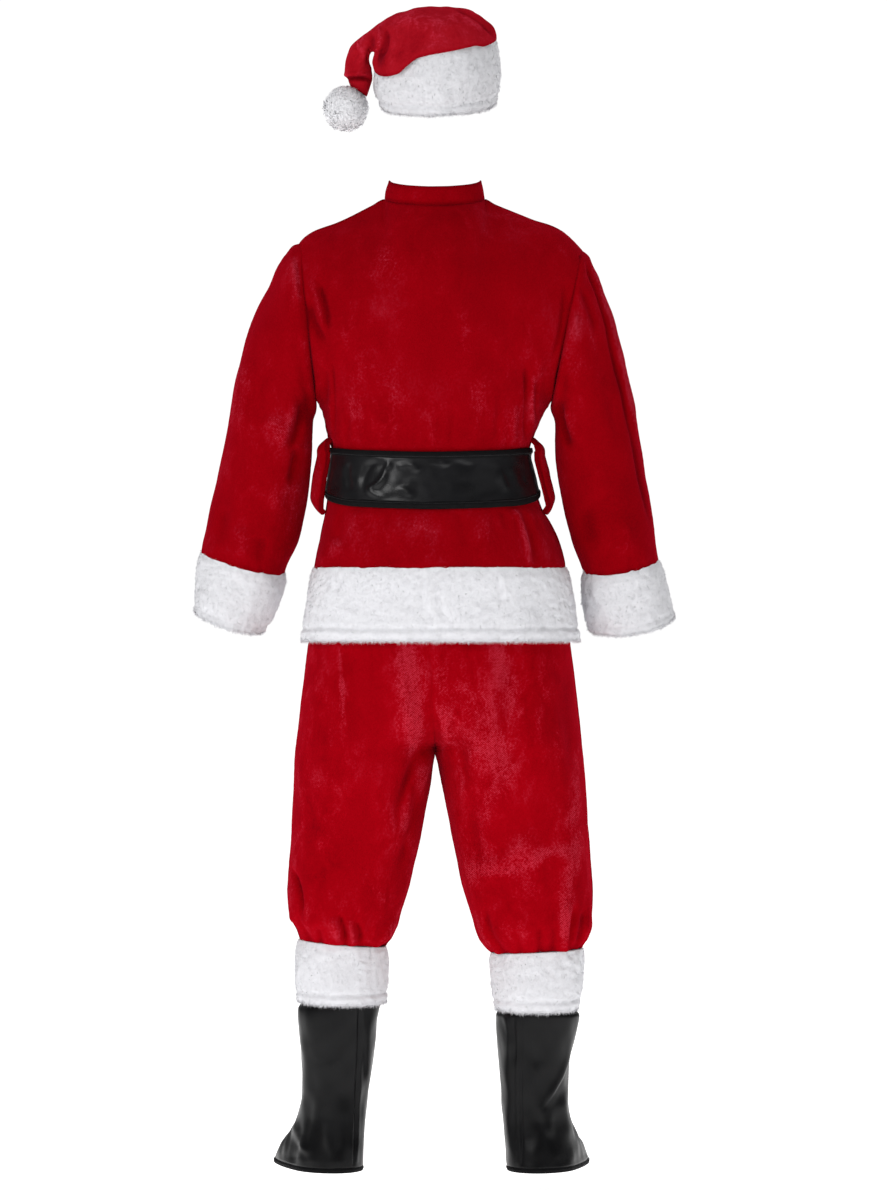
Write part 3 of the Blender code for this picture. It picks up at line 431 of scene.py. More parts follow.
TROUSER_CREASES = {
    FACE_BACK: crease_table(
        (147, 850, 141, 716, -2, 3.5, 2, 0.3), (136, 846, 130, 700, -4, 10, -1.2, 0),
        (96, 840, 92, 620, -6, 24, -1.8, 0), (50, 850, 30, 700, 8, 16, 2.6, 0),
        (8, 700, 60, 572, 10, 8, -4, -0.4), (-4, 690, 46, 560, 10, 9, 2.6, 0),
        (-26, 742, -48, 640, 6, 13, -3.4, 0.2), (-14, 760, -20, 680, 2, 10, 2.4, 0),
        (-84, 850, -52, 660, -8, 18, 3.4, 0.3), (-116, 840, -98, 650, -8, 22, -3.2, 0),
        (-160, 840, -176, 640, 10, 26, 2.6, 0), (-206, 830, -222, 640, 6, 14, -2.6, 0),
        (64, 700, 52, 520, 8, 26, 2.6, 0), (118, 640, 110, 470, 8, 34, -1.4, 0),
        (174, 660, 184, 520, -6, 26, 2.4, 0), (30, 640, 58, 500, -5, 9, -3, 0),
        (-148, 560, -66, 500, -12, 22, 3.6, 0.2), (-130, 520, -64, 474, -10, 18, -1.8, 0),
        (-204, 540, -206, 420, 4, 14, 3, 0), (-190, 520, -186, 430, 4, 14, -1.2, 0),
        (-50, 620, -62, 520, 5, 14, -3, 0), (226, 504, 211, 430, -5, 3.5, -4.2, 0.4),
        (232, 480, 226, 410, -3, 7, 3, 0), (150, 434, 138, 386, -2, 4, -4, 0.3),
        (158, 430, 149, 388, 0, 6, 2.6, 0), (124, 424, 116, 388, -3, 4, -3.6, 0),
        (132, 426, 126, 388, 0, 5, 2.6, 0), (36, 500, 96, 380, -16, 6, 3.4, -0.4),
        (28, 484, 84, 376, -16, 6, -4.4, 0.3), (216, 432, 192, 390, 6, 5, -2.4, 0.3),
        (182, 412, 176, 386, 0, 5, -1.8, 0), (-212, 446, -206, 376, 0, 4.5, -3.4, 0.3),
        (-203, 450, -199, 376, 0, 7, 2.4, 0), (-74, 440, -106, 372, 8, 5, -2.8, 0.3),
        (-66, 430, -98, 370, 8, 7, 2, 0), (-122, 412, -130, 372, 0, 6, -1.8, 0),
        (-158, 416, -160, 372, 0, 6, -2, 0.2), (-184, 420, -180, 374, 0, 6, -1.6, 0),
        (-230, 440, -222, 380, 0, 5, -2.4, 0),
    ),
    FACE_FRONT: crease_table(
        (150, 850, 140, 660, 6, 20, -3, 0.2), (96, 850, 90, 650, 6, 18, 3.2, 0),
        (40, 800, 70, 700, 6, 12, -3.8, 0.2), (22, 740, 60, 660, -6, 12, -4, 0),
        (-20, 750, -62, 670, 6, 12, -4, 0), (-46, 806, -80, 700, -6, 14, 3.2, 0),
        (-130, 850, -120, 650, -6, 22, -3, 0), (-180, 830, -188, 650, 6, 20, 2.8, 0),
        (90, 600, 150, 540, -10, 16, -4.2, 0.2), (84, 560, 156, 508, -10, 16, 3.8, 0),
        (96, 520, 160, 474, -8, 15, -3.8, 0), (-90, 590, -152, 536, 10, 16, -4.2, 0),
        (-84, 548, -160, 500, 10, 16, 3.8, 0), (-100, 510, -166, 466, 8, 15, -3.8, 0.2),
        (110, 436, 104, 388, 0, 5, -5, 0.3), (132, 430, 128, 388, 0, 6, 3.2, 0),
        (150, 440, 148, 388, 0, 5, -4.6, 0), (186, 436, 180, 388, 0, 6, -4.6, 0.3),
        (-110, 426, -112, 376, 0, 5, -4.6, 0), (-136, 432, -138, 376, 0, 6, 3.2, 0),
        (-158, 436, -158, 376, 0, 5, -4.8, 0.2), (-196, 430, -192, 376, 0, 6, -4.4, 0),
    ),
}
BOOT_CREASES = {
    FACE_BACK: crease_table(
        (116, 330, 121, 180, 0, 2, -2, 0), (121, 200, 128, 20, 0, 2, -2, 0),
        (111, 330, 116, 180, 0, 3.5, 1.2, 0), (116, 200, 123, 20, 0, 3.5, 1.2, 0),
        (190, 236, 172, 206, 6, 10, 0.9, 0.2), (178, 226, 152, 208, 5, 12, -0.5, 0),
        (184, 198, 156, 192, -5, 10, 0.6, 0), (204, 240, 200, 150, -3, 9, 1.8, 0),
        (206, 150, 236, 84, -6, 8, 2.6, 0.3), (194, 150, 214, 70, -6, 9, -2.4, 0),
        (222, 100, 196, 62, 4, 7, 2, 0.2), (168, 130, 150, 60, 3, 12, -1.8, 0),
        (146, 150, 138, 50, -3, 10, 1.6, 0), (108, 270, 102, 160, 2, 6, 2.2, 0.2),
        (106, 130, 112, 50, -2, 6, 2.4, 0), (-132, 330, -132, 20, 0, 2, -2, 0),
        (-127, 330, -127, 20, 0, 3.5, 1.2, 0), (-212, 232, -164, 136, -6, 4.5, 2.8, -0.4),
        (-222, 222, -174, 128, -6, 8, -1.5, 0), (-166, 138, -176, 90, 3, 7, 2, 0),
        (-104, 280, -114, 216, -4, 7, 2.2, 0.2), (-118, 276, -122, 200, 0, 5, -1.8, 0),
        (-150, 188, -172, 198, -3, 11, 0.6, 0), (-108, 130, -118, 50, 2, 6, 2, 0),
        (-196, 150, -216, 74, 4, 7, 2.6, -0.3), (-186, 130, -200, 60, 3, 9, -2.4, 0),
    ),
    FACE_FRONT: crease_table(
        (190, 240, 130, 222, 4, 7, -2.8, 0), (196, 150, 136, 140, 6, 8, -3.6, 0.3),
        (200, 128, 140, 116, 6, 8, 3.2, 0), (204, 104, 150, 92, 6, 8, -3.2, 0),
        (-190, 236, -130, 218, -4, 7, -2.8, 0), (-192, 148, -132, 138, -6, 8, -3.6, 0.3),
        (-196, 124, -136, 112, -6, 8, 3.2, 0), (-200, 100, -146, 90, -6, 8, -3.2, 0),
    ),
}
BELT_CREASES = {
    FACE_BACK: crease_table(
        (78, 1140, 76, 1116, -4, 4, 2, 0.3), (76, 1118, 102, 1088, -5, 5, 1.8, 0.3),
        (92, 1134, 112, 1092, 4, 6, -1.5, 0), (104, 1092, 78, 1070, 4, 5, 1.7, 0),
        (60, 1124, 34, 1134, 3, 6, 1.2, 0), (20, 1136, -24, 1130, 3, 7, 1.5, 0.2),
        (54, 1141, 24, 1139, 1, 3, 1.6, 0), (6, 1141, -42, 1137, 1, 3.5, 1.7, 0.2),
        (-8, 1136, -18, 1122, 1, 5, 1.2, 0.2), (38, 1128, 26, 1114, 1, 6, 1.2, 0.2),
        (-30, 1134, -58, 1122, 3, 6, -1.2, 0), (56, 1090, 36, 1072, -3, 6, 1.2, 0),
        (-96, 1116, -112, 1082, 3, 6, 1.3, 0), (132, 1128, 128, 1086, 3, 5, -1.4, 0),
        (-128, 1126, -134, 1092, 0, 6, -1.2, 0),
    ),
    FACE_FRONT: crease_table(
        (96, 1136, 84, 1084, 4, 6, 1.6, 0.2), (110, 1130, 118, 1084, 3, 6, -1.4, 0),
        (-88, 1136, -98, 1080, -4, 6, 1.6, 0), (-114, 1126, -106, 1084, 3, 6, -1.4, 0),
    ),
}
TRIM_CREASES = {
    FACE_BACK: crease_table(
        (-88, 968, -99, 904, -2, 3.5, -2.6, 0.3), (-96, 966, -106, 902, -2, 7, 1.6, 0),
        (22, 962, 30, 906, -6, 8, -2.4, 0.3), (8, 950, -8, 880, 6, 8, 2.2, 0),
        (-4, 936, -20, 876, 5, 7, -2.4, 0), (-10, 880, -8, 858, 0, 4, -3.4, 0),
        (116, 950, 122, 880, 4, 16, -1.6, 0), (166, 940, 172, 870, -4, 14, 1.6, 0),
        (-150, 950, -164, 870, 4, 18, -1.8, 0), (292, 960, 312, 890, 5, 16, -1.8, 0),
        (340, 960, 350, 900, 0, 14, 1.6, 0), (-238, 948, -260, 900, 8, 5, -3.4, 0.4),
        (-250, 956, -270, 892, 8, 8, 2.6, 0), (-300, 950, -312, 884, 5, 20, -1.6, 0),
        (136, 384, 132, 310, 2, 14, -1.6, 0), (100, 376, 98, 302, 0, 8, -1.6, 0),
        (-130, 368, -128, 292, 2, 16, 1.6, 0), (-180, 366, -176, 296, -2, 18, -1.6, 0),
        (40, 1748, 48, 1700, 3, 16, -1.8, 0), (-40, 1764, -46, 1700, -4, 18, 1.8, 0),
    ),
    FACE_FRONT: crease_table(
        (96, 950, 106, 872, 4, 14, -2.2, 0), (40, 950, 46, 872, -4, 16, 2, 0),
        (-70, 950, -80, 872, 4, 14, -2.2, 0), (-140, 950, -150, 872, -4, 16, 2, 0),
        (300, 950, 316, 890, 4, 14, -2.2, 0), (-290, 950, -304, 890, -4, 14, -2.2, 0),
        (150, 380, 148, 306, 2, 14, -1.8, 0), (-150, 366, -148, 292, 2, 14, 1.8, 0),
        (20, 1760, 26, 1706, 3, 16, -1.8, 0),
    ),
}
CROWN_CREASES = {
    FACE_BACK: crease_table(
        (88, 1808, 101, 1742, -7, 4, 5, 0.4), (80, 1802, 92, 1750, -7, 6, -5, -0.2),
        (103, 1796, 106, 1748, -2, 5, -4, 0.2), (72, 1802, 30, 1776, 7, 14, -1.2, 0.2),
        (50, 1818, -10, 1806, 6, 16, 2.6, 0), (116, 1772, 134, 1742, 4, 7, -3, 0),
        (150, 1733, 96, 1734, 1, 4, 3.2, 0.2), (150, 1727, 98, 1727, 1, 3.5, -6, 0.3),
        (120, 1790, 110, 1764, 3, 6, 2.6, 0),
    ),
    FACE_FRONT: crease_table(
        (90, 1800, 98, 1752, -3, 6, -6, 0.3), (70, 1806, 80, 1760, -4, 8, 4, 0),
        (0, 1836, -60, 1790, -5, 8, -4, 0), (-30, 1830, -84, 1784, -4, 8, 3, 0),
        (146, 1728, 104, 1730, 2, 4, -3, 0.3),
    ),
    FACE_UP: crease_table(
        (-22, 1836, -92, 1786, -7, 4, -3.4, 0.3), (-8, 1836, -80, 1780, -7, 6, 1.2, 0),
        (-40, 1834, -100, 1790, -6, 4, 2.4, 0), (-62, 1830, -108, 1774, -7, 3.5, -3.6, 0.2),
        (40, 1838, 84, 1800, 5, 5, -0.8, 0.2),
    ),
}

# Patches where the pile is brushed light and where it is brushed dark, mixed with painted highlights along
# ridges and rims and painted shade where parts turn from the light; lean shifts a patch sideways for each
# millimetre of height
NAP_COLUMNS = "x height wide tall lean strength"
NAP_AND_PAINTED_LIGHT_PATCHES = {
    FACE_BACK: columns(
        NAP_COLUMNS,
        (38, 800, 22, 70, 0.12, 0.85), (30, 700, 14, 50, 0.1, 0.75), (146, 780, 3, 60, 0.04, 0.7),
        (44, 560, 9, 40, 0.25, 0.6), (224, 640, 10, 70, 0, 0.4), (222, 520, 8, 40, 0, 0.5),
        (-8, 800, 9, 34, -0.1, 0.6), (-34, 708, 18, 50, 0.1, 0.85), (-112, 790, 18, 70, 0.25, 0.95),
        (-98, 684, 22, 46, 0.1, 0.75), (-86, 610, 20, 36, -0.2, 0.5), (-62, 546, 18, 44, 0.2, 0.6),
        (-56, 500, 24, 20, 0, 0.6), (-110, 502, 34, 13, -1.6, 0.7), (-170, 530, 28, 14, -1.6, 0.75),
        (-208, 582, 12, 22, -0.4, 0.7), (-218, 650, 9, 80, 0, 0.55), (-216, 520, 9, 40, 0, 0.5),
        (-198, 440, 13, 46, 0, 0.75), (-112, 410, 24, 20, -0.4, 0.35), (-150, 470, 14, 20, 0, 0.35),
        (90, 470, 16, 40, 0.5, 0.3), (130, 410, 8, 24, 0, 0.35), (200, 420, 10, 30, 0, 0.35),
        (110, 560, 50, 110, 0, -0.14), (-150, 700, 30, 80, 0, -0.2), (-126, 590, 36, 24, -0.5, -0.22),
        (-150, 430, 30, 20, 0, -0.15), (-14, 648, 10, 30, 0, -0.4), (78, 700, 26, 90, 0.1, -0.1),
        (-76, 740, 46, 110, 0.3, 0.24), (-60, 600, 30, 60, 0, 0.16), (36, 740, 30, 80, 0, 0.15),
        (70, 1236, 20, 52, -0.12, 0.32), (-44, 1330, 10, 46, 0.16, 0.26), (-64, 1222, 17, 50, 0.05, 0.36),
        (128, 1200, 11, 40, 0, 0.34), (-100, 1196, 18, 40, 0, 0.3), (90, 1452, 40, 20, 0.5, 0.08),
        (10, 1440, 60, 24, 0.1, 0.08), (-136, 1214, 8, 36, 0, 0.4), (6, 1196, 22, 22, 0, 0.28),
        (60, 1186, 20, 14, 0, 0.26), (20, 1320, 90, 70, 0, -0.12), (-120, 1400, 40, 60, 0, -0.1),
        (-140, 1016, 9, 34, 0.3, 0.45), (150, 1020, 12, 30, -0.2, 0.2), (-170, 1000, 8, 30, 0.3, 0.35),
        # Sleeves: the thin strips along ridges and outer edges are painted highlights, and the wide negative
        # patch on the right sleeve is painted shade
        (219, 1080, 22, 90, -0.05, 0.32), (304, 1300, 7, 130, -0.14, 0.4), (246, 1180, 12, 34, -0.2, 0.26),
        (266, 1400, 8, 50, -0.25, 0.2), (352, 1050, 7, 60, -0.25, 0.3), (216, 1430, 6, 26, 0, 0.3),
        (-264, 1372, 4.5, 60, 0.3, 0.7), (-300, 1236, 4.5, 50, 0.22, 0.6), (-246, 1300, 5, 60, 0.26, 0.35),
        (-270, 1226, 4, 40, 0.2, 0.35), (-332, 1090, 5, 60, 0.2, 0.4), (-222, 1150, 8, 24, 0.3, 0.3),
        (-262, 1110, 60, 100, 0.2, -0.3), (-216, 1350, 7, 26, 0.1, 0.3), (-196, 1262, 5, 34, 0.1, 0.3),
        # Cap: the thin bright strips on the lobe's rim and the tail are painted highlights, and the dark
        # patch on the lobe is painted shade
        (10, 1806, 40, 12, 0.4, 0.14), (70, 1808, 22, 8, -1, 0.3), (84, 1752, 11, 24, 0, -0.75),
        (100, 1756, 2.5, 20, 0.1, 0.6), (44, 1770, 16, 8, -0.5, 0.2), (122, 1766, 8, 22, -0.3, 0.35),
        (-44, 1812, 24, 9, 0.5, 0.35), (-60, 1800, 12, 8, 0.5, 0.2),
    ),
    FACE_FRONT: columns(
        NAP_COLUMNS,
        (80, 770, 24, 80, 0.1, 0.7), (-70, 740, 24, 80, -0.2, 0.7), (150, 640, 20, 90, 0, 0.4),
        (-160, 620, 22, 90, 0.1, 0.45), (110, 500, 22, 40, 0.4, 0.5), (-120, 490, 24, 36, -0.5, 0.5),
        (90, 1380, 26, 60, 0.1, 0.2), (-80, 1340, 24, 70, -0.1, 0.4), (70, 1210, 20, 50, 0, 0.35),
        (-110, 1200, 18, 50, 0, 0.35), (100, 1010, 18, 36, -0.2, 0.4), (-110, 1000, 18, 40, 0.2, 0.4),
        (250, 1280, 14, 100, -0.1, 0.4), (-250, 1270, 14, 100, 0.1, 0.4), (290, 1060, 14, 60, -0.2, 0.35),
        (-290, 1060, 14, 60, 0.2, 0.35), (20, 1800, 40, 24, 0.3, 0.35),
    ),
}


def smooth(keys, values, at):
    """A curve through the table's points that never swings past them, read at the given places."""
    step = np.diff(keys)
    slope = np.diff(values) / step
    product = slope[:-1] * slope[1:]
    total = np.where(product > 0, slope[:-1] + slope[1:], 1.0)
    tangent = np.concatenate(([slope[0]], np.where(product > 0, 2 * product / total, 0.0), [slope[-1]]))
    cell = np.clip(np.searchsorted(keys, at, side="right") - 1, 0, len(step) - 1)
    part = (at - keys[cell]) / step[cell]
    bend_in = tangent[cell] * step[cell]
    bend_out = tangent[cell + 1] * step[cell]
    rise = values[cell + 1] - values[cell]
    return values[cell] + part * (bend_in + part * (
        3 * rise - 2 * bend_in - bend_out + part * (bend_in + bend_out - 2 * rise)))


def read(table, key, at):
    """Every column of a table at the given places along its key column."""
    order = np.argsort(table[key])
    keys = table[key][order]
    return {name: smooth(keys, values[order], at) for name, values in table.items() if name != key}


def rows_of(table):
    """A table's rows, each as a dictionary of its columns."""
    names = list(table)
    return [dict(zip(names, row)) for row in zip(*table.values())]


def ease(low, high, at):
    """0 up to low, 1 from high, and a soft step between."""
    part = np.clip((at - low) / (high - low), 0, 1)
    return part * part * (3 - 2 * part)


def within(limits, at):
    """1 inside a stretch and 0 outside it, with a soft step at each end."""
    start, full, fading, end = limits
    return ease(start, full, at) * (1 - ease(fading, end, at))


def swell(off, height, width):
    """The height of a soft swell at a distance off its middle."""
    return height * np.exp(-(off / width) ** 2)


def mix(first, second, share):
    """A value between the first, at share 0, and the second, at share 1."""
    return first + (second - first) * share


def oval(angle, power):
    """The two coordinates of a squared-off unit circle."""
    reach = (np.abs(np.cos(angle)) ** power + np.abs(np.sin(angle)) ** power) ** (-1 / power)
    return reach * np.cos(angle), reach * np.sin(angle)


def point(x, y, z):
    """Points from their coordinates."""
    return np.stack(np.broadcast_arrays(x, y, z), axis=-1)


def unit(vectors):
    """Vectors scaled to a length of 1."""
    return vectors / np.maximum(np.linalg.norm(vectors, axis=-1, keepdims=True), 1e-9)


def outward(surface, across, along, turn):
    """Unit normals of a surface on the side that turn picks."""
    step = 1e-4
    first = surface(across + step, along) - surface(across - step, along)
    second = surface(across, along + step) - surface(across, along - step)
    return unit(np.cross(first, second) * turn)


# Surfaces of the pieces
def neck_and_shoulders(angle, side):
    """The jacket's top edge from the left shoulder point, over the neck, to the right one."""
    share = angle / TURN
    shoulder = np.minimum(share, 1 - share) / NECK_SHARE
    sign = np.where(share < 0.5, 1, -1)
    tip = np.where(share < 0.5, ARMHOLE[1][0][0], ARMHOLE[-1][0][0])
    along = mix(tip, NECK_CENTRE + sign * NECK_HALF, shoulder)
    round_neck = np.clip((share - NECK_SHARE) / (1 - 2 * NECK_SHARE), 0, 1) * TURN
    neck_y, neck_z = NECK_MIDDLE[side]
    on_neck = shoulder > 1
    x = np.where(on_neck, NECK_CENTRE + NECK_HALF * np.cos(round_neck), along)
    y = np.where(on_neck, neck_y * np.sin(round_neck), 0.0)
    z = np.where(
        on_neck,
        mix(NECK_SIDE, neck_z, np.sin(round_neck)),
        smooth(SHOULDER_LINE["across"], SHOULDER_LINE["height"], along),
    )
    return point(x, y, z)


def jacket_row(angle, along, side):
    """One row of the jacket. along is 0 at the hem seam, 1 at the underarm and 2 at the shoulder."""
    low = np.minimum(along, 1.0)
    rise = np.maximum(along - 1.0, 0.0)
    height = mix(HEM_SEAM, UNDERARM, low)
    body = read(JACKET_RINGS, "height", height)
    top = read(SHOULDER_RISE, "rise", rise)
    upper = along > 1
    swing = -TURN / 2 + TURN * rise
    climb = (1 + np.sin(swing)) / 2
    left, right = (
        (mix(ARMHOLE[s][1][0], ARMHOLE[s][0][0], climb), mix(ARMHOLE[s][1][1], ARMHOLE[s][0][1], climb))
        for s in (1, -1)
    )
    left_x = np.where(upper, left[0], body["left"])
    right_x = np.where(upper, right[0], body["right"])
    edge_y = np.where(upper, side * ARMHOLE_DEPTH * np.cos(swing), 0.0)
    depth = np.where(upper, top["back" if side > 0 else "front"], body["back" if side > 0 else "front"])
    middle = np.where(upper, top["back_height" if side > 0 else "front_height"], height)
    leave = np.where(upper, np.radians(top["leave"]), 0.0)
    turned = leave + angle * (TURN - 2 * leave) / TURN
    cos_part, sin_part = oval(turned, RING_POWER)
    cos_start, sin_start = oval(leave, RING_POWER)
    bulge = (sin_part - sin_start) / (1 - sin_start)
    across = cos_part / cos_start
    x = (left_x + right_x) / 2 + (left_x - right_x) / 2 * across
    y = mix(edge_y, depth, bulge)
    edge_z = np.where(upper, mix(right[1], left[1], (1 + across) / 2), height)
    return point(x, y, mix(edge_z, middle, bulge))


def eased_row(angle, along, side):
    """A jacket row evened out with its neighbours above and below, so that the underarm leaves no ridge."""
    near = ROW_BLEND * np.clip(np.minimum(along, 2.0 - along) / (2 * ROW_BLEND), 0, 1)
    parts = ((0.0, 0.4), (-1.0, 0.3), (1.0, 0.3))
    return sum(weight * jacket_row(angle, along + shift * near, side) for shift, weight in parts)


def jacket(side):
    """The jacket's outer surface, back (side 1) or front (-1): angle 0 is the left side, pi the right."""
    def to_edge(angle):
        mirrored = np.where(angle < 0, -angle, np.where(angle > TURN, 2 * TURN - angle, angle))
        sign = np.where((angle < 0) | (angle > TURN), -1.0, 1.0)[..., None]
        top = jacket_row(mirrored, np.full_like(angle, 2.0), side)
        return sign * (neck_and_shoulders(mirrored, side) - top)

    def surface(angle, along):
        rise = np.clip(along - 1.0, 0.0, 1.0)
        spread = YOKE_BLEND * (1 - rise)
        shoulder = sum(weight * to_edge(angle + shift * spread) for shift, weight in YOKE_WEIGHTS)
        return eased_row(angle, along, side) + shoulder * rise[..., None] ** YOKE_FADE
    return surface


def sections(table):
    """A tube through sections that each have an outer and an inner point, a centre and a half depth."""
    def surface(angle, along):
        at = read(table, "along", along)
        cos_part, sin_part = np.cos(angle), np.sin(angle)
        tilt = np.radians(at["tilt"])
        x = (at["outer"] + at["inner"]) / 2 + (at["outer"] - at["inner"]) / 2 * cos_part
        z = (at["outer_height"] + at["inner_height"]) / 2
        z = z + (at["outer_height"] - at["inner_height"]) / 2 * cos_part
        reach = at["half"] * sin_part
        return point(x, at["centre"] + reach * np.cos(tilt), z - reach * np.sin(tilt))
    return surface


def ring_at(angle, height):
    """The jacket's outline all round at any height below the underarm."""
    along = (height - HEM_SEAM) / (UNDERARM - HEM_SEAM)
    angle = np.mod(angle, 2 * TURN)
    back = jacket(1)(np.where(angle <= TURN, angle, 0.0), along)
    front = jacket(-1)(np.where(angle > TURN, 2 * TURN - angle, 0.0), along)
    return np.where((angle > TURN)[..., None], front, back)


def belt(angle, share):
    """The belt's ground on the jacket: angle all round from the left side, share up the belt's width."""
    edges = read(BELT_EDGES, "angle", np.degrees(angle))
    return ring_at(angle, mix(edges["bottom"], edges["top"], share))


def front_lift(kind, angle):
    """How far the left front stands off to lap over the right one."""
    return OVERLAP_LIFT[kind] * ease(*LAP_RISE, angle)


def trouser(leg, side):
    """One trouser panel's surface: across is 0 at the inseam or centre seam and 1 at the outseam."""
    def surface(across, height):
        row = read(TROUSER_ROWS, "height", height)
        outer = row["outer_left" if leg > 0 else "outer_right"]
        inner = row["middle"] + leg * row["part_left" if leg > 0 else "part_right"]
        depth = row["back" if side > 0 else "front"]
        start = np.radians(row["start"])
        cos_part, sin_part = oval(start * (1 - across), TROUSER_POWER)
        cos_start = oval(start, TROUSER_POWER)[0]
        low = 1 - ease(*CUFF_REACH, height)
        drop = low * (CUFF_DROP[leg] + CUFF_TILT[leg] * cos_part)
        x = outer - (outer - inner) * (1 - cos_part) / (1 - cos_start)
        return point(x, depth * sin_part, height + drop)
    return surface


def boot(leg):
    """A boot cover about its own upright axis, angle 0 on its outer side and the toe at -pi/2."""
    def surface(angle, height):
        ring = read(BOOTS[leg], "height", height)
        cos_part, sin_part = np.cos(angle), np.sin(angle)
        aside = leg * ring["half"] * cos_part
        ahead = -sin_part * np.where(sin_part > 0, ring["heel"], ring["toe"])
        turn = np.radians(ring["turn"])
        x = ring["centre"] + aside * np.cos(turn) + leg * ahead * np.sin(turn)
        y = leg * aside * np.sin(turn) - ahead * np.cos(turn)
        return point(x, y, np.broadcast_to(height, np.shape(x)))
    return surface


def collar(angle, share):
    """A narrow stand collar on the neck line: angle runs from the front over the left to the back."""
    sin_part = np.sin(angle)
    back = sin_part > 0
    depth = np.where(back, NECK_MIDDLE[1][0], -NECK_MIDDLE[-1][0])
    low = np.where(back, NECK_MIDDLE[1][1], NECK_MIDDLE[-1][1])
    x = NECK_CENTRE + (NECK_HALF - COLLAR_LEAN * share) * np.cos(angle)
    y = (depth - COLLAR_LEAN * share) * sin_part
    from_front = np.abs(np.mod(angle + 1.5 * TURN, 2 * TURN) - TURN)
    clear = COLLAR_SEAT + COLLAR_CLEAR * (1 - ease(*COLLAR_DIP, from_front))
    return point(x, y, mix(NECK_SIDE, low, np.abs(sin_part)) + clear + COLLAR_HEIGHT * share)


def loop_path(side):
    """The inner face of a belt loop: across runs along the jacket's side, along down the loop's arch."""
    def surface(across, along):
        arch = read(LOOP_ARCH, "along", along)
        angle = across if side > 0 else TURN - across
        out = np.array([side * math.cos(LOOP_LEAN), math.sin(LOOP_LEAN), 0.0])
        return ring_at(angle, arch["height"]) + arch["stand_off"][..., None] * out
    return surface


def crown_edge(angle):
    """How far the crown's edge is lifted and laps out, at any angle round the cap."""
    return read(CROWN_EDGE, "angle", np.degrees(np.mod(angle + TURN, 2 * TURN) - TURN))


def crown(angle, along):
    """The cap's crown; its edge laps over the band where the cloth flops down on the left."""
    edge = crown_edge(angle)
    ground = sections(HAT_CROWN)(angle, along)
    centre = sections(HAT_CROWN)(angle + TURN, along)
    out = unit((ground - centre) * np.array([1.0, 1.0, 0.0]))
    near = 1 - ease(0.0, 2.4, along)
    swell = edge["lap"] * (1 - ease(0.4, 2.6, along))
    return ground + out * swell[..., None] + point(0.0, 0.0, edge["lift"] * near)


# Creases, pile direction, painted light and soft unevenness
def facing(normal, side):
    """How far a surface counts as back (side 1) or front (-1), fading at the outline; side 0 is both."""
    if side == FACE_UP:
        return np.ones(normal.shape[:-1])
    return ease(-0.15, 0.45, normal[..., 1] * side)


def crease_lift(table, x, height, narrow=math.inf):
    """The lift in millimetres of every trough and ridge in a table, less of those wider than narrow."""
    total = np.zeros(np.shape(x))
    for crease in rows_of(table):
        run_x, run_h = crease["to_x"] - crease["x"], crease["to_height"] - crease["height"]
        length = math.hypot(run_x, run_h)
        part = ((x - crease["x"]) * run_x + (height - crease["height"]) * run_h) / length ** 2
        off = ((x - crease["x"]) * -run_h + (height - crease["height"]) * run_x) / length
        off = off - crease["bow"] * 4 * part * (1 - part)
        width = crease["width"] * np.where(off > 0, 1 - crease["skew"], 1 + crease["skew"])
        fade = ease(-0.12, 0.25, part) * (1 - ease(0.7, 1.12, part))
        total += min(1.0, narrow / crease["width"]) * swell(off, crease["depth"], width) * fade
    return total


def folds(tables, ground, normal, deep=1.0, narrow=math.inf):
    """Creases of both sides of a piece, deepened by a share."""
    x, height = ground[..., 0], ground[..., 2]
    lift = np.zeros(x.shape)
    for side, table in tables.items():
        lift = lift + deep * crease_lift(table, x, height, narrow) * facing(normal, side)
    return lift


def nap(ground, normal):
    """Brushed pile and painted light: 0 where the pile lies even, up to 1 where it is brushed light and where
    a highlight is painted, below 0 where shade is painted.
    """
    total = np.zeros(ground.shape[:-1])
    for side, table in NAP_AND_PAINTED_LIGHT_PATCHES.items():
        seen = facing(normal, side)
        for patch in rows_of(table):
            up = ground[..., 2] - patch["height"]
            aside = ground[..., 0] - patch["x"] - patch["lean"] * up
            spread = (aside / patch["wide"]) ** 2 + (up / patch["tall"]) ** 2
            total += patch["strength"] * seen * np.exp(-spread)
    return total


def waves(ground, size, seed, tall=1.0, count=14):
    """Soft unevenness between about -1 and 1, with bumps of the given size, longer up the cloth by tall."""
    rng = np.random.default_rng(seed)
    total = np.zeros(ground.shape[:-1])
    for _ in range(count):
        way = unit(rng.normal(size=3)) * rng.uniform(0.6, 1.5) * 2 * TURN / size
        way[2] /= tall
        total += np.sin(ground @ way + rng.uniform(0, 2 * TURN))
    return total / math.sqrt(count)


def uneven(ground, seed, layers):
    """Waves of several sizes laid over each other."""
    return sum(depth * waves(ground, size, seed + k, tall) for k, (depth, size, tall) in enumerate(layers))


def edge_distance(ground, closed):
    """Millimetres along the cloth from each point to the nearest side edge of its panel."""
    if closed:
        return np.full(ground.shape[:-1], FAR_OFF)
    step = np.linalg.norm(np.diff(ground, axis=1), axis=-1)
    run = np.concatenate((np.zeros((len(ground), 1)), np.cumsum(step, axis=1)), axis=1)
    return np.minimum(run, run[:, -1:] - run)


def run_from_start(ground):
    """Millimetres along the cloth from the first row."""
    step = np.linalg.norm(np.diff(ground, axis=0), axis=-1)
    return np.concatenate((np.zeros((1, ground.shape[1])), np.cumsum(step, axis=0)), axis=0)


def end_distance(ground):
    """Millimetres along the cloth from each point to the nearer end row."""
    run = run_from_start(ground)
    return np.minimum(run, run[-1:] - run)


def gathers(ground, size, seed):
    """Uneven upright pleats of about the given width."""
    return waves(ground, size, seed, tall=7.0, count=18)


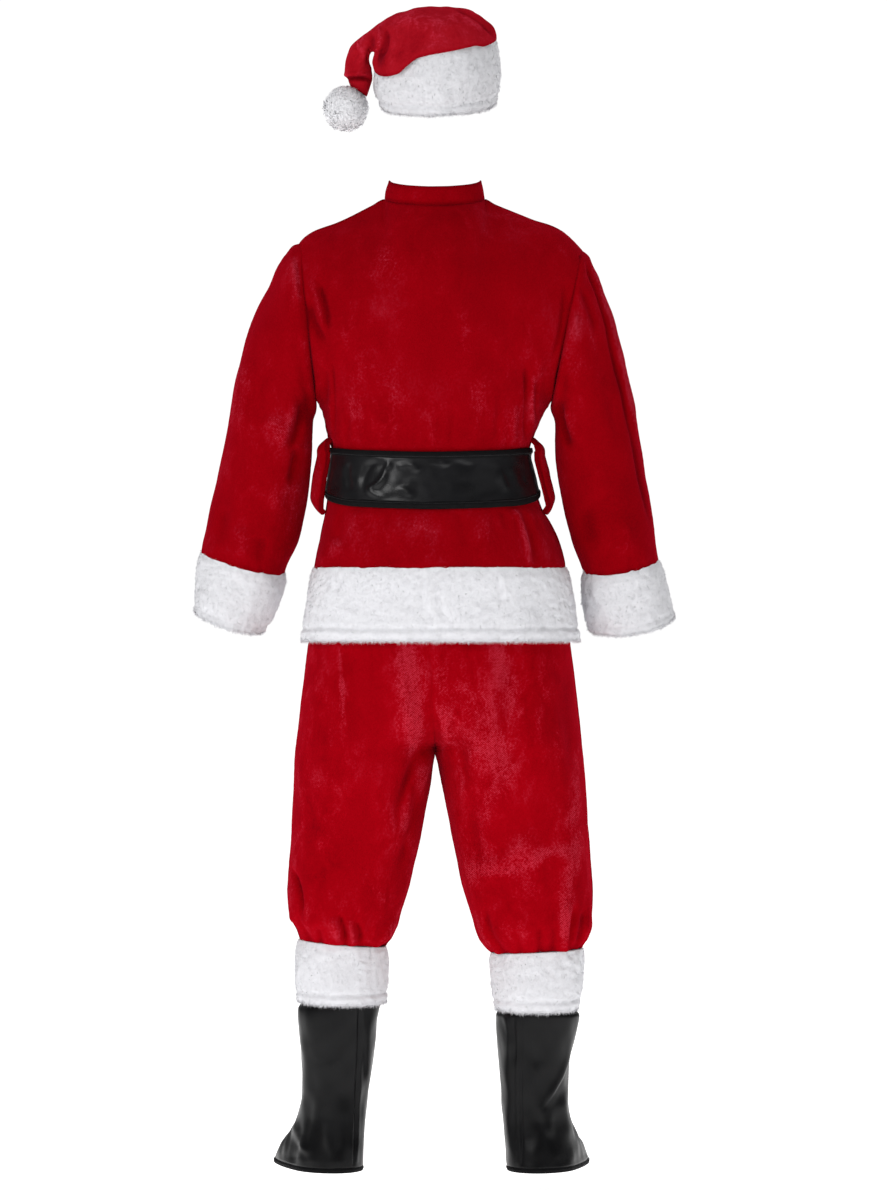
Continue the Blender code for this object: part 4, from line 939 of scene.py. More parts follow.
def red_shape(tables, seed, seam=1.4, ends=True):
    """The relief of a red plush piece: creases, soft waves, pile and sunken seams."""
    grain_depth, grain_size = RED_GRAIN

    def shape(ground, normal, closed):
        edge = edge_distance(ground, closed)
        lift = folds(tables, ground, normal, CREASE_DEEP) + uneven(ground, seed, RED_WAVES)
        lift = (lift + grain_depth * waves(ground, grain_size, seed + 2)) * ease(*SEAM_EASE, edge)
        lift = lift - swell(edge, seam, SEAM_GROOVE)
        if ends:
            end = end_distance(ground)
            lift = lift * ease(*END_EASE, end) - swell(end, *END_GROOVE)
        return lift
    return shape


# Meshes
def to_frame(points):
    """Millimetres above the floor to metres in the suit's frame."""
    return (points - np.array([0.0, 0.0, CARRY_HEIGHT])) * MM


def add_mesh(name, points, faces, material, normals=None):
    """A smooth mesh piece from points in millimetres, with its own normals where they are given."""
    mesh = bpy.data.meshes.new(name)
    mesh.from_pydata(to_frame(points.reshape(-1, 3)), [], faces)
    mesh.shade_smooth()
    if normals is not None:
        mesh.normals_split_custom_set_from_vertices(normals.reshape(-1, 3))
    mesh.materials.append(material)
    piece = bpy.data.objects.new(name, mesh)
    bpy.context.scene.collection.objects.link(piece)
    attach(piece, "root")
    return piece


def grid_faces(rows, count, closed, flip, first=0):
    """Quads over a grid of rows by count points that starts at a point's number."""
    i, j = np.meshgrid(np.arange(rows - 1), np.arange(count if closed else count - 1), indexing="ij")
    m = (j + 1) % count
    corners = [i * count + j, i * count + m, (i + 1) * count + m, (i + 1) * count + j]
    if flip:
        corners.reverse()
    return (first + np.stack(corners, axis=-1).reshape(-1, 4)).tolist()


def strided(count, wrap):
    """Every few of a number of points, the last one too unless they close in a ring."""
    picked = list(range(0, count, LINING_STRIDE))
    if not wrap and picked[-1] != count - 1:
        picked.append(count - 1)
    return picked


def lowest_near(values, closed):
    """The lowest value within a lining step of each point, so that the lining never shows in a trough."""
    for axis in (0, 1):
        count = values.shape[axis]
        shifted = []
        for step in range(-LINING_STRIDE, LINING_STRIDE + 1):
            places = np.arange(count) + step
            places = places % count if closed and axis == 1 else np.clip(places, 0, count - 1)
            shifted.append(np.take(values, places, axis=axis))
        values = np.min(shifted, axis=0)
    return values


def wall_faces(skin, lining, closed, flip, round_rows):
    """Faces of a cloth wall: a fine skin that turns in at both ends, a coarse lining, and what joins the two.

    skin and lining are grids of point numbers; the lining's rows and columns are some of the skin's.
    """
    rows, count = skin.shape
    inner_rows = strided(rows - 2 * round_rows, False)
    inner_cols = strided(count, closed)
    faces = grid_faces(rows, count, closed, flip)
    faces += grid_faces(*lining.shape, closed, not flip, first=int(lining[0, 0]))
    joins = []
    ends = inner_cols[1:] + ([count] if closed else [])
    for j, (low, high) in enumerate(zip(inner_cols, ends)):
        across = [c % count for c in range(low, high + 1)]
        m = (j + 1) % len(inner_cols)
        joins.append([skin[-1, c] for c in across] + [lining[-1, m], lining[-1, j]])
        joins.append([lining[0, j], lining[0, m]] + [skin[0, c] for c in reversed(across)])
    if not closed:
        for c, reverse in ((0, False), (-1, True)):
            sides = [[skin[r, c] for r in range(round_rows + 1)] + [lining[0, c]]]
            for i, (low, high) in enumerate(zip(inner_rows, inner_rows[1:])):
                run = [skin[round_rows + r, c] for r in range(low, high + 1)]
                sides.append(run + [lining[i + 1, c], lining[i, c]])
            sides.append([skin[r, c] for r in range(rows - round_rows - 1, rows)] + [lining[-1, c]])
            joins += [side[::-1] if reverse else side for side in sides]
    faces += [[int(corner) for corner in (face[::-1] if flip else face)] for face in joins]
    return faces


def round_edge(outer, inner, before, steps):
    """Points on a half circle from the outer edge over to the inner one, bulging away from the row before."""
    centre = (outer + inner) / 2
    half = (outer - inner) / 2
    away = unit((outer - before) - half * np.sum((outer - before) * half, axis=-1, keepdims=True)
                / np.maximum(np.sum(half * half, axis=-1, keepdims=True), 1e-9))
    radius = np.linalg.norm(half, axis=-1, keepdims=True)
    turns = np.arange(1, steps) * TURN / steps
    return np.stack([centre + half * math.cos(t) + away * radius * math.sin(t) for t in turns])


class Cloth:
    """A cloth shell and the grids that it was made from."""

    def __init__(self, piece, outer, normal, skin, ground):
        self.piece = piece
        self.outer = outer
        self.normal = normal
        self.skin = skin
        self.ground = ground

    def cut(self, folded):
        """Flat width, length and area in metres, from the ground that the cloth was laid on."""
        closed_gap = np.linalg.norm(self.ground[:, 0] - self.ground[:, -1], axis=-1)
        across = np.linalg.norm(np.diff(self.ground, axis=1), axis=-1)
        along = np.linalg.norm(np.diff(self.ground, axis=0), axis=-1)
        width = across.sum(axis=1)
        if closed_gap.max() < 2.5 * across.mean():
            width = width + closed_gap
        length = along.sum(axis=0) * (2 if folded else 1)
        area = width.mean() * length.mean()
        size = tuple(max(run.max() * MM, NARROWEST_CUT) for run in (width, length))
        return size, min(max(area * MM * MM, 0.31 * size[0] * size[1]), size[0] * size[1])


def shell(name, surface, across, along, material, turn=1, over=0.0, cloth=2.0, closed=False, shape=None,
          edge_steps=4, creases=None):
    """A thin cloth shell with rounded end edges. over lifts it off the surface, cloth is its thickness.

    creases are the tables of a piece with pile; its colour gets painted highlights on ridges and swells and
    painted shade in troughs, along seams and at its ends.
    """
    a, b = np.meshgrid(np.asarray(across, float), np.asarray(along, float))
    ground = surface(a, b)
    normal = outward(surface, a, b, turn)
    lift = over(a, b) if callable(over) else np.full(a.shape, float(over))
    thick = cloth(a, b) if callable(cloth) else np.full(a.shape, float(cloth))
    relief = shape(ground, normal, closed) if shape else np.zeros(a.shape)
    outer = ground + normal * (lift + relief)[..., None]
    inner = outer - normal * thick[..., None]
    end = round_edge(outer[-1], inner[-1], outer[-2], edge_steps)
    start = round_edge(outer[0], inner[0], outer[1], edge_steps)[::-1]
    skin = np.concatenate((start, outer, end))
    under = ground + normal * (lowest_near(lift + relief, closed) - thick)[..., None]
    lining = under[strided(len(outer), False)][:, strided(outer.shape[1], closed)]
    numbers = np.arange(skin.size // 3).reshape(skin.shape[:2])
    lining_numbers = skin.size // 3 + np.arange(lining.size // 3).reshape(lining.shape[:2])
    faces = wall_faces(numbers, lining_numbers, closed, turn < 0, edge_steps - 1)
    piece = add_mesh(name, np.concatenate((skin.reshape(-1, 3), lining.reshape(-1, 3))), faces, material)
    if creases is not None:
        narrow = folds(creases, ground, normal, narrow=PAINTED_LIGHT_CREASE_WIDTH)
        # Painted light: highlights on narrow ridges and swells, and painted shade in troughs, along the seams
        # and at the ends, added to the nap patches
        light = nap(outer, normal) + RIDGE_PAINTED_LIGHT * np.tanh(narrow / 2.5) + SWELL_PAINTED_LIGHT * np.tanh(relief / 4.0)
        light = light - swell(edge_distance(ground, closed), *SEAM_PAINTED_SHADE)
        light = np.clip(light - swell(end_distance(ground), *END_PAINTED_SHADE), -1, 1)
        ends = [np.repeat(light[:1], len(start), 0), light, np.repeat(light[-1:], len(end), 0)]
        values = np.concatenate([part.ravel() for part in ends] + [np.zeros(lining.size // 3)])
        layer = piece.data.attributes.new("nap", "FLOAT", "POINT")
        layer.data.foreach_set("value", values.astype(np.float32))
    return Cloth(piece, outer, normal, skin, ground)


def declare(cloth, node, folded=False):
    """Hides the CAD part that a sheet of cloth stands for and works out the flat size it is cut to, which is
    left unused; a tape is folded double.
    """
    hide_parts(node)
    flat, area = cloth.cut(folded)


def fur(name, grid, normals, material, per_square_mm, length, seed, comb=(0.0, 0.0, -1.0), lean=0.8,
        stand=0.5, closed=True, width=0.55):
    """Short strands of pile on a grid of points, each a bent blade of three triangles."""
    rng = np.random.default_rng(seed)
    if closed:
        grid = np.concatenate((grid, grid[:, :1]), axis=1)
        normals = np.concatenate((normals, normals[:, :1]), axis=1)
    side_a = np.linalg.norm(np.diff(grid, axis=1), axis=-1)[:-1]
    side_b = np.linalg.norm(np.diff(grid, axis=0), axis=-1)[:, :-1]
    cells = side_a * side_b
    count = int(cells.sum() * per_square_mm)
    pick = rng.choice(cells.size, size=count, p=(cells / cells.sum()).ravel())
    i, j = np.unravel_index(pick, cells.shape)
    u, v = rng.random((2, count, 1))

    def blend(values):
        low = mix(values[i, j], values[i, j + 1], u)
        high = mix(values[i + 1, j], values[i + 1, j + 1], u)
        return mix(low, high, v)

    base, normal = blend(grid), unit(blend(normals))
    flow = np.array(comb) + 0.55 * rng.normal(size=(count, 3))
    flow = unit(flow - normal * np.sum(flow * normal, axis=-1, keepdims=True))
    reach = length * rng.uniform(0.55, 1.25, size=(count, 1))
    first = unit(normal * stand + flow * lean + 0.25 * rng.normal(size=(count, 3)))
    second = unit(first + flow * lean * 1.2)
    aside = unit(np.cross(first, normal + 0.45 * rng.normal(size=(count, 3)))) * width / 2
    root = base - normal * 0.4
    middle = root + first * reach * 0.5
    tip = middle + second * reach * 0.5
    points = np.stack((root - aside, root + aside, middle + aside * 0.75, middle - aside * 0.75, tip), axis=1)
    start = (np.arange(count) * 5)[:, None]
    quads = (start + np.array([[0, 1, 2, 3]])).tolist()
    tips = (start + np.array([[3, 2, 4]])).tolist()
    lit = unit(normal + 0.25 * first + 0.22 * rng.normal(size=(count, 3)))
    return add_mesh(name, points, quads + tips, material, np.repeat(lit[:, None], 5, axis=1))


def stitches(name, path, normals, material, pitch=3.4, length=2.4, thick=0.55):
    """A row of thread stitches, each a small spindle, along a path of points."""
    step = np.linalg.norm(np.diff(path, axis=0), axis=-1)
    run = np.concatenate(([0.0], np.cumsum(step)))
    places = np.arange(pitch, run[-1] - pitch / 2, pitch)
    centre = np.stack([np.interp(places, run, path[:, k]) for k in range(3)], axis=-1)
    ahead = np.stack([np.interp(places + 0.5, run, path[:, k]) for k in range(3)], axis=-1) - centre
    normal = unit(np.stack([np.interp(places, run, normals[:, k]) for k in range(3)], axis=-1))
    ahead = unit(ahead)
    aside = np.cross(ahead, normal)
    ends = [ahead * length / 2, -ahead * length / 2]
    belly = [aside * thick, normal * thick, -aside * thick, -normal * thick]
    points = np.stack([centre + offset for offset in ends + belly], axis=1)
    spindle = [[0, 2, 3], [0, 3, 4], [0, 4, 5], [0, 5, 2], [1, 3, 2], [1, 4, 3], [1, 5, 4], [1, 2, 5]]
    faces = [[6 * s + corner for corner in face] for s in range(len(places)) for face in spindle]
    return add_mesh(name, points, faces, material)


# Materials
class Finish:
    """A material, its shader and short ways to add texture nodes to it."""

    def __init__(self, name, roughness=0.9, metallic=0.0, specular=0.5):
        self.material = bpy.data.materials.new(name)
        self.material.use_nodes = True
        self.tree = self.material.node_tree
        self.shader = self.tree.nodes["Principled BSDF"]
        self.set("Roughness", roughness)
        self.set("Metallic", metallic)
        self.set("Specular IOR Level", specular)
        self.place = self.add("ShaderNodeTexCoord").outputs["Object"]
        self.relief = None

    def set(self, socket, value):
        """Sets one of the shader's inputs to a value."""
        self.shader.inputs[socket].default_value = value

    def link(self, socket, output):
        """Feeds one of the shader's inputs from a node."""
        self.tree.links.new(output, self.shader.inputs[socket])

    def add(self, kind, inputs=None, **settings):
        """A new node; each input is a value or another node's output."""
        made = self.tree.nodes.new(kind)
        for key, value in settings.items():
            setattr(made, key, value)
        for key, value in (inputs or {}).items():
            if isinstance(value, bpy.types.NodeSocket):
                self.tree.links.new(value, made.inputs[key])
            else:
                made.inputs[key].default_value = value
        return made

    def stretched(self, stretch, turn=(0.0, 0.0, 0.0)):
        """The piece's own coordinates, stretched and turned."""
        return self.add("ShaderNodeMapping", {"Vector": self.place, "Scale": stretch, "Rotation": turn})

    def noise(self, size, detail=2.0, stretch=(1.0, 1.0, 1.0), rough=0.5, distort=0.0):
        """Noise from 0 to 1 with features of a size in metres."""
        spot = self.stretched(stretch).outputs["Vector"]
        return self.add("ShaderNodeTexNoise", {
            "Vector": spot, "Scale": 1 / size, "Detail": detail, "Roughness": rough, "Distortion": distort,
        }).outputs["Fac"]

    def math(self, operation, first, second=0.0, third=0.0):
        """The result of a sum on one to three values."""
        inputs = {0: first, 1: second, 2: third}
        return self.add("ShaderNodeMath", inputs, operation=operation).outputs["Value"]

    def ramp(self, factor, *stops):
        """A colour ramp of (place, colour) stops."""
        made = self.add("ShaderNodeValToRGB", {"Fac": factor})
        made.color_ramp.elements.remove(made.color_ramp.elements[-1])
        for place, colour in stops:
            element = made.color_ramp.elements.new(place)
            element.color = (*colour, 1.0)
        made.color_ramp.elements.remove(made.color_ramp.elements[0])
        return made.outputs["Color"]

    def spread(self, factor, low, high):
        """A 0 to 1 value spread between two limits."""
        inputs = {"Value": factor, "To Min": low, "To Max": high}
        return self.add("ShaderNodeMapRange", inputs).outputs["Result"]

    def step(self, factor, low, high):
        """A soft step from 0 at low to 1 at high."""
        inputs = {"Value": factor, "From Min": low, "From Max": high}
        return self.add("ShaderNodeMapRange", inputs, interpolation_type="SMOOTHSTEP").outputs["Result"]

    def bump(self, height, strength, distance):
        """Relief on top of what the finish has already; distance is its depth in metres."""
        inputs = {"Height": height, "Strength": strength, "Distance": distance}
        if self.relief is not None:
            inputs["Normal"] = self.relief
        self.relief = self.add("ShaderNodeBump", inputs).outputs["Normal"]
        self.link("Normal", self.relief)

    def sheen(self, weight, roughness, tint):
        """The soft gleam of pile at grazing angles."""
        self.set("Sheen Weight", weight)
        self.set("Sheen Roughness", roughness)
        self.set("Sheen Tint", (*tint, 1.0))


def shaded(colour, share):
    """A colour scaled by a share."""
    return tuple(min(channel * share, 1.0) for channel in colour)


def plush_finish(name, colour, painted_warm_light=0.0, mottle=0.5):
    """Short red pile: light patches, of brushed pile and painted highlights, show their weave; troughs with
    their painted shade and pile brushed the other way are dark.
    """
    finish = Finish(name, roughness=0.9, specular=0.0)
    pile_and_painted_light = finish.add("ShaderNodeAttribute", attribute_name="nap").outputs["Fac"]
    patchy = finish.noise(0.026, 5.0, stretch=(1.0, 1.0, 0.6), rough=0.62, distort=0.5)
    soft = finish.noise(0.11, 2.0, rough=0.5)
    fleck = finish.noise(0.0034, 3.0, rough=0.7)
    twill = finish.add("ShaderNodeTexWave", {
        "Vector": finish.stretched((1.0, 1.0, 1.0), (0.0, 0.9, 0.0)).outputs["Vector"],
        "Scale": 140.0, "Distortion": 4.0, "Detail": 3.0, "Detail Scale": 1.6,
    }, bands_direction="X").outputs["Fac"]
    wander = finish.math("MULTIPLY_ADD", patchy, 2.2 * mottle, -1.1 * mottle)
    mealy = finish.math("MULTIPLY_ADD", fleck, 0.9, -0.45)
    # light follows brushed pile and painted highlights; dark follows painted shade, pile brushed dark and
    # random mottling
    light = finish.step(finish.math("ADD", finish.math("ADD", pile_and_painted_light, wander), mealy), 0.05, 1.0)
    dark = finish.step(finish.math("SUBTRACT", finish.math("MULTIPLY", wander, 0.6), pile_and_painted_light), 0.06, 0.8)
    grain = finish.math("MULTIPLY_ADD", twill, 0.5, fleck)
    grain = finish.math("MULTIPLY_ADD", grain, 1.5, -0.90)
    value = finish.math("MULTIPLY_ADD", finish.math("SUBTRACT", soft, 0.5), 0.36, 0.465)
    value = finish.math("MULTIPLY_ADD", wander, 0.34, value)
    value = finish.math("MULTIPLY_ADD", finish.math("SUBTRACT", fleck, 0.5), 0.34, value)
    value = finish.math("MULTIPLY_ADD", light, grain, value)
    value = finish.math("MULTIPLY_ADD", dark, -0.30, value)
    red, green, blue = colour
    # Shades of red by value; the warm term is painted light, a warmer cast for the cap where the light falls
    # on it
    shades = finish.ramp(
        value,
        (0.12, (red * 0.46, green * 0.3 + painted_warm_light * 0.3, blue * 0.6 + painted_warm_light * 0.5)),
        (0.36, (red * 0.86, green * 0.6 + painted_warm_light * 0.6, blue * 0.8 + painted_warm_light)),
        (0.50, (red, green + painted_warm_light, blue + painted_warm_light * 1.6)),
        (0.72, (red * 1.20, green + 0.007 + painted_warm_light, blue + 0.014 + painted_warm_light * 2.0)),
        (0.95, (red * 1.48, green + 0.022 + painted_warm_light, blue + 0.040 + painted_warm_light * 2.4)),
    )
    finish.link("Base Color", shades)
    finish.sheen(0.12, 0.5, (1.0, 0.05, 0.12))
    finish.bump(fleck, 0.35, 0.0012)
    finish.bump(finish.noise(0.0011, 2.0, rough=0.7), 0.35, 0.0005)
    return finish.material


def fur_ground_finish(name, colour):
    """The clumped white pile under the strands."""
    finish = Finish(name, roughness=0.92, specular=0.2)
    clumps = finish.noise(0.012, 3.0, rough=0.65)
    tufts = finish.noise(0.0036, 3.0, rough=0.7)
    value = finish.math("MULTIPLY_ADD", clumps, 0.55, finish.math("MULTIPLY", tufts, 0.45))
    shades = finish.ramp(value, (0.30, shaded(colour, 0.88)), (0.48, shaded(colour, 0.96)), (0.64, colour))
    finish.link("Base Color", shades)
    finish.sheen(0.1, 0.5, (1.0, 1.0, 1.0))
    finish.bump(clumps, 0.3, 0.003)
    finish.bump(tufts, 0.4, 0.0012)
    return finish.material


def fur_strand_finish(name, colour, dim=0.90):
    """Single strands of white pile, darker in patches."""
    finish = Finish(name, roughness=0.85, specular=0.1)
    patches = finish.noise(0.011, 3.0, rough=0.65)
    finish.link("Base Color", finish.ramp(patches, (0.32, shaded(colour, dim)), (0.55, colour)))
    finish.sheen(0.1, 0.5, (1.0, 1.0, 1.0))
    return finish.material


def leatherette_finish(name, colour, gloss, specular):
    """Black coated cloth with a fine pebbled grain, a little duller where it is rubbed."""
    finish = Finish(name, roughness=gloss, specular=specular)
    rubbed = finish.noise(0.045, 3.0, rough=0.6)
    finish.link("Roughness", finish.spread(rubbed, gloss - 0.04, gloss + 0.08))
    finish.link("Base Color", finish.ramp(rubbed, (0.3, shaded(colour, 0.8)), (0.75, shaded(colour, 1.3))))
    grain = finish.add("ShaderNodeTexVoronoi", {"Vector": finish.place, "Scale": 900.0}, feature="SMOOTH_F1")
    finish.bump(rubbed, 0.1, 0.004)
    finish.bump(finish.noise(0.013, 3.0, stretch=(1.0, 1.0, 0.5), rough=0.5), 0.14, 0.0012)
    finish.bump(grain.outputs["Distance"], 0.2, 0.0004)
    return finish.material


def binding_finish(name, colour):
    """Ribbed black tape."""
    finish = Finish(name, roughness=0.72, specular=0.1)
    ribs = finish.add("ShaderNodeTexWave", {
        "Vector": finish.place, "Scale": 330.0, "Distortion": 0.6, "Detail": 1.0,
    }, bands_direction="DIAGONAL").outputs["Fac"]
    dust = finish.noise(0.006, 3.0)
    finish.link("Base Color", finish.ramp(dust, (0.3, shaded(colour, 0.7)), (0.8, shaded(colour, 1.3))))
    finish.bump(ribs, 0.5, 0.0006)
    return finish.material


def metal_finish(name, colour):
    """Satin metal with fine upright brushing."""
    finish = Finish(name, roughness=0.3, metallic=1.0)
    brushed = finish.noise(0.0012, 3.0, stretch=(1.0, 1.0, 0.04), rough=0.6)
    finish.link("Roughness", finish.spread(brushed, 0.2, 0.42))
    finish.link("Base Color", finish.ramp(brushed, (0.3, shaded(colour, 0.85)), (0.7, shaded(colour, 1.1))))
    finish.bump(brushed, 0.12, 0.0003)
    return finish.material


def thread_finish(name, colour):
    """Waxed sewing thread."""
    finish = Finish(name, roughness=0.55, specular=0.4)
    twist = finish.noise(0.0008, 2.0)
    finish.link("Base Color", finish.ramp(twist, (0.3, shaded(colour, 0.7)), (0.7, shaded(colour, 1.4))))
    return finish.material


def floor_finish(name):
    """Matt pale studio floor."""
    finish = Finish(name, roughness=0.9, specular=0.1)
    soft = finish.noise(0.4, 2.0)
    finish.link("Base Color", finish.ramp(soft, (0.3, (0.93, 0.93, 0.93)), (0.7, (0.95, 0.95, 0.95))))
    finish.set("Emission Color", (1.0, 1.0, 1.0, 1.0))
    finish.set("Emission Strength", 0.95)
    return finish.material


# Each finish: its maker, the material's name, its colour setting, a share of that colour, other settings
RECIPES = {
    "red_plush": (plush_finish, "red_plush_pile", "red", 1.0, {}),
    "trouser_plush": (plush_finish, "red_plush_trousers", "red", 1.20, {"mottle": 0.8}),
    # The cap's plush: the red painted lighter and warmer, painted light where the light falls on the cap
    "cap_plush_painted_light": (plush_finish, "red_plush_cap", "red", 1.27, {"painted_warm_light": 0.005, "mottle": 0.9}),
    "fur_ground": (fur_ground_finish, "white_fur_ground", "white", 1.0, {}),
    "fur_strands": (fur_strand_finish, "white_fur_strands", "white", 1.0, {}),
    # Cap and cuff fur: darker copies of the white, painted shade; the pom-pom's fur: a lighter copy, painted
    # light against the shade among its strands
    "cap_fur_ground": (fur_ground_finish, "white_fur_cap_ground", "white", 0.86, {}),
    "cap_fur_strands": (fur_strand_finish, "white_fur_cap_strands", "white", 0.86, {}),
    "cuff_fur_ground": (fur_ground_finish, "white_fur_cuff_ground", "white", 0.93, {}),
    "cuff_fur_strands": (fur_strand_finish, "white_fur_cuff_strands", "white", 0.93, {}),
    "pompom_fur_painted_light": (fur_strand_finish, "white_fur_pompom", "white", 1.22, {"dim": 0.99}),
    "leatherette": (
        leatherette_finish, "black_leatherette_grain", "black", 1.5, {"gloss": 0.27, "specular": 0.28}),
    "boot_leatherette": (
        leatherette_finish, "black_leatherette_boot", "black", 0.8, {"gloss": 0.34, "specular": 0.17}),
    "binding": (binding_finish, "black_ribbed_tape", "black", 1.0, {}),
    "metal": (metal_finish, "satin_metal", "metal", 1.0, {}),
    "thread": (thread_finish, "black_thread", "thread", 1.0, {}),
}
FINISHES = {}


def finish(name):
    """A finish by its name, made the first time that a piece asks for it."""
    if name not in FINISHES:
        kind, label, colour, share, settings = RECIPES[name]
        whole = tuple(getattr(bpy.context.scene.plush_suit, colour))
        FINISHES[name] = kind(label, shaded(whole, share) if share != 1.0 else whole, **settings)
    return FINISHES[name]


# Pieces
def spaced(first, last, length, coarse=1.0):
    """Evenly spaced values over a stretch of cloth that is about length millimetres long."""
    step = bpy.context.scene.plush_suit.mesh_step / MM * coarse
    return np.linspace(first, last, max(6, round(length / step)) + 1)


def spaced_round(length, coarse=1.0):
    """Angles all the way round a tube of about length millimetres."""
    return spaced(0, 2 * TURN, length, coarse)[:-1]


def jacket_share(height):
    """Heights up to the underarm as the jacket surface's own coordinate."""
    return (np.asarray(height, float) - HEM_SEAM) / (UNDERARM - HEM_SEAM)


def jacket_relief(seed):
    """The jacket blouses over the belt, lies flat under it and flares with small gathers below it."""
    base = red_shape(JACKET_CREASES, seed)
    depth, size = JACKET_GATHERS
    arm = UNDERARM_SWELL

    def shape(ground, normal, closed):
        height = ground[..., 2]
        gathered = within(BLOUSED, height) + within(FLARED, height)
        lift = base(ground, normal, closed) + depth * gathers(ground, size, seed + 5) * gathered
        underarm = ease(*arm["aside"], np.abs(ground[..., 0]))
        underarm = underarm * swell(height - arm["height"], arm["lift"], arm["tall"])
        lift = lift + underarm * swell(edge_distance(ground, closed), 1.0, arm["from_seam"])
        belted = within(BELTED, height)
        return lift * (1 - belted) - BELT_PRESS * belted
    return shape


def make_jacket():
    """Back and two fronts, each a panel of its own with a sunken seam at each side."""
    rows = np.concatenate((spaced(0, 1, 256), spaced(1, 2, 330)[1:]))
    for seed, (word, (side, first, last, length)) in enumerate(PANELS.items(), SEEDS["jacket"]):
        over = (lambda a, b: front_lift("jacket", a)) if word == "front_left" else 0.0
        made = shell(f"jacket_{word}_cloth", jacket(side), spaced(first, last, length), rows,
                     finish("red_plush"), turn=side, over=over, shape=jacket_relief(seed),
                     creases=JACKET_CREASES)
        declare(made, f"jacket_{word}")


def make_collar():
    """The narrow stand collar on the neck line."""
    def rolled(ground, normal, closed):
        roll = COLLAR_ROLL
        edge = roll["lift"] * ease(0, roll["width"], end_distance(ground))
        return roll["wave"] * waves(ground, roll["size"], SEEDS["collar"]) + edge - roll["sunk"]

    gap = COLLAR_GAP / NECK_HALF
    made = shell("jacket_collar_cloth", collar, spaced(gap - TURN / 2, 1.5 * TURN - gap, 470, 0.7),
                 spaced(0, 1, COLLAR_HEIGHT, 0.6), finish("red_plush"), cloth=COLLAR_CLOTH, shape=rolled,
                 creases={})
    declare(made, "jacket_collar")


def trim_relief(seed, stitch, low_first):
    """Plump fur fabric: tucked in at its seam, with a stitch line and a fluffier roll at the low edge."""
    def shape(ground, normal, closed):
        run = run_from_start(ground)
        low = run if low_first else run[-1:] - run
        high = run[-1:] - low
        lift = folds(TRIM_CREASES, ground, normal) + uneven(ground, seed, TRIM_WAVES)
        tufted = np.clip(0.5 + 0.8 * waves(ground, TRIM_TUFTS["patch"], seed + 4), 0, 1)
        tufts = waves(ground, TRIM_TUFTS["size"], seed + 2)
        lift = lift + mix(TRIM_TUFTS["low"], TRIM_TUFTS["high"], tufted) * tufts
        full = ease(0, TRIM_PLUMP["from_seam"], high) * ease(0, TRIM_PLUMP["from_edge"], low)
        lift = lift + TRIM_PLUMP["lift"] * full - swell(high, *TRIM_SEAM)
        aside, size, tall = STITCH_WANDER
        wander = stitch + aside * waves(ground, size, seed + 3, tall=tall)
        lift = lift - swell(low - wander, *STITCH_LINE)
        roll_width = stitch * STITCH_ROLL["width"]
        lift = lift + swell(low - stitch * STITCH_ROLL["at"], STITCH_ROLL["lift"], roll_width)
        return lift - swell(edge_distance(ground, closed), *TRIM_SIDE)
    return shape


def grid_normals(grid, turn, closed):
    """Normals of a grid of points from its own steps."""
    if closed:
        across = np.roll(grid, -1, axis=1) - np.roll(grid, 1, axis=1)
    else:
        across = np.gradient(grid, axis=1)
    return unit(np.cross(across, np.gradient(grid, axis=0)) * turn)


def furry(name, surface, across, along, seed, turn=1, closed=True, over=1.6, cloth=4.0, stitch=12.0,
          low_first=False, place=""):
    """A trim of white fur fabric: its shell, the strands that stand on it and a fringe at its low edge."""
    settings = bpy.context.scene.plush_suit
    made = shell(f"{name}_cloth", surface, across, along, finish(f"{place}fur_ground"), turn=turn, over=over,
                 cloth=cloth, closed=closed, shape=trim_relief(seed, stitch, low_first), edge_steps=6)
    normals = grid_normals(made.skin, turn, closed)
    pile = finish(f"{place}fur_strands")
    strands = fur(f"{name}_strands", made.skin, normals, pile, settings.fur_density, settings.fur_length / MM,
                  seed + STRANDS_SEED, closed=closed)
    low = slice(0, FRINGE_ROWS) if low_first else slice(-FRINGE_ROWS, None)
    fringe = fur(f"{name}_fringe", made.skin[low], normals[low], pile,
                 FRINGE["density"] * settings.fur_density, FRINGE["length"] * settings.fur_length / MM,
                 seed + FRINGE_SEED, closed=closed, lean=FRINGE["lean"], stand=FRINGE["stand"])
    declare(made, name)


def make_hem_bands():
    """White fur round the jacket's hem, lapped at the front like the jacket."""
    rows = jacket_share(spaced(*HEM_BAND["heights"], 110, 0.75))
    rest = HEM_BAND["over"]
    for seed, (word, (side, first, last, length)) in enumerate(PANELS.items(), SEEDS["hem band"]):
        over = (lambda a, b: rest + front_lift("band", a)) if word == "front_left" else rest
        furry(f"hem_band_{word}", jacket(side), spaced(first, last, length), rows, seed, turn=side,
              closed=False, stitch=HEM_BAND["stitch"], low_first=True, over=over)


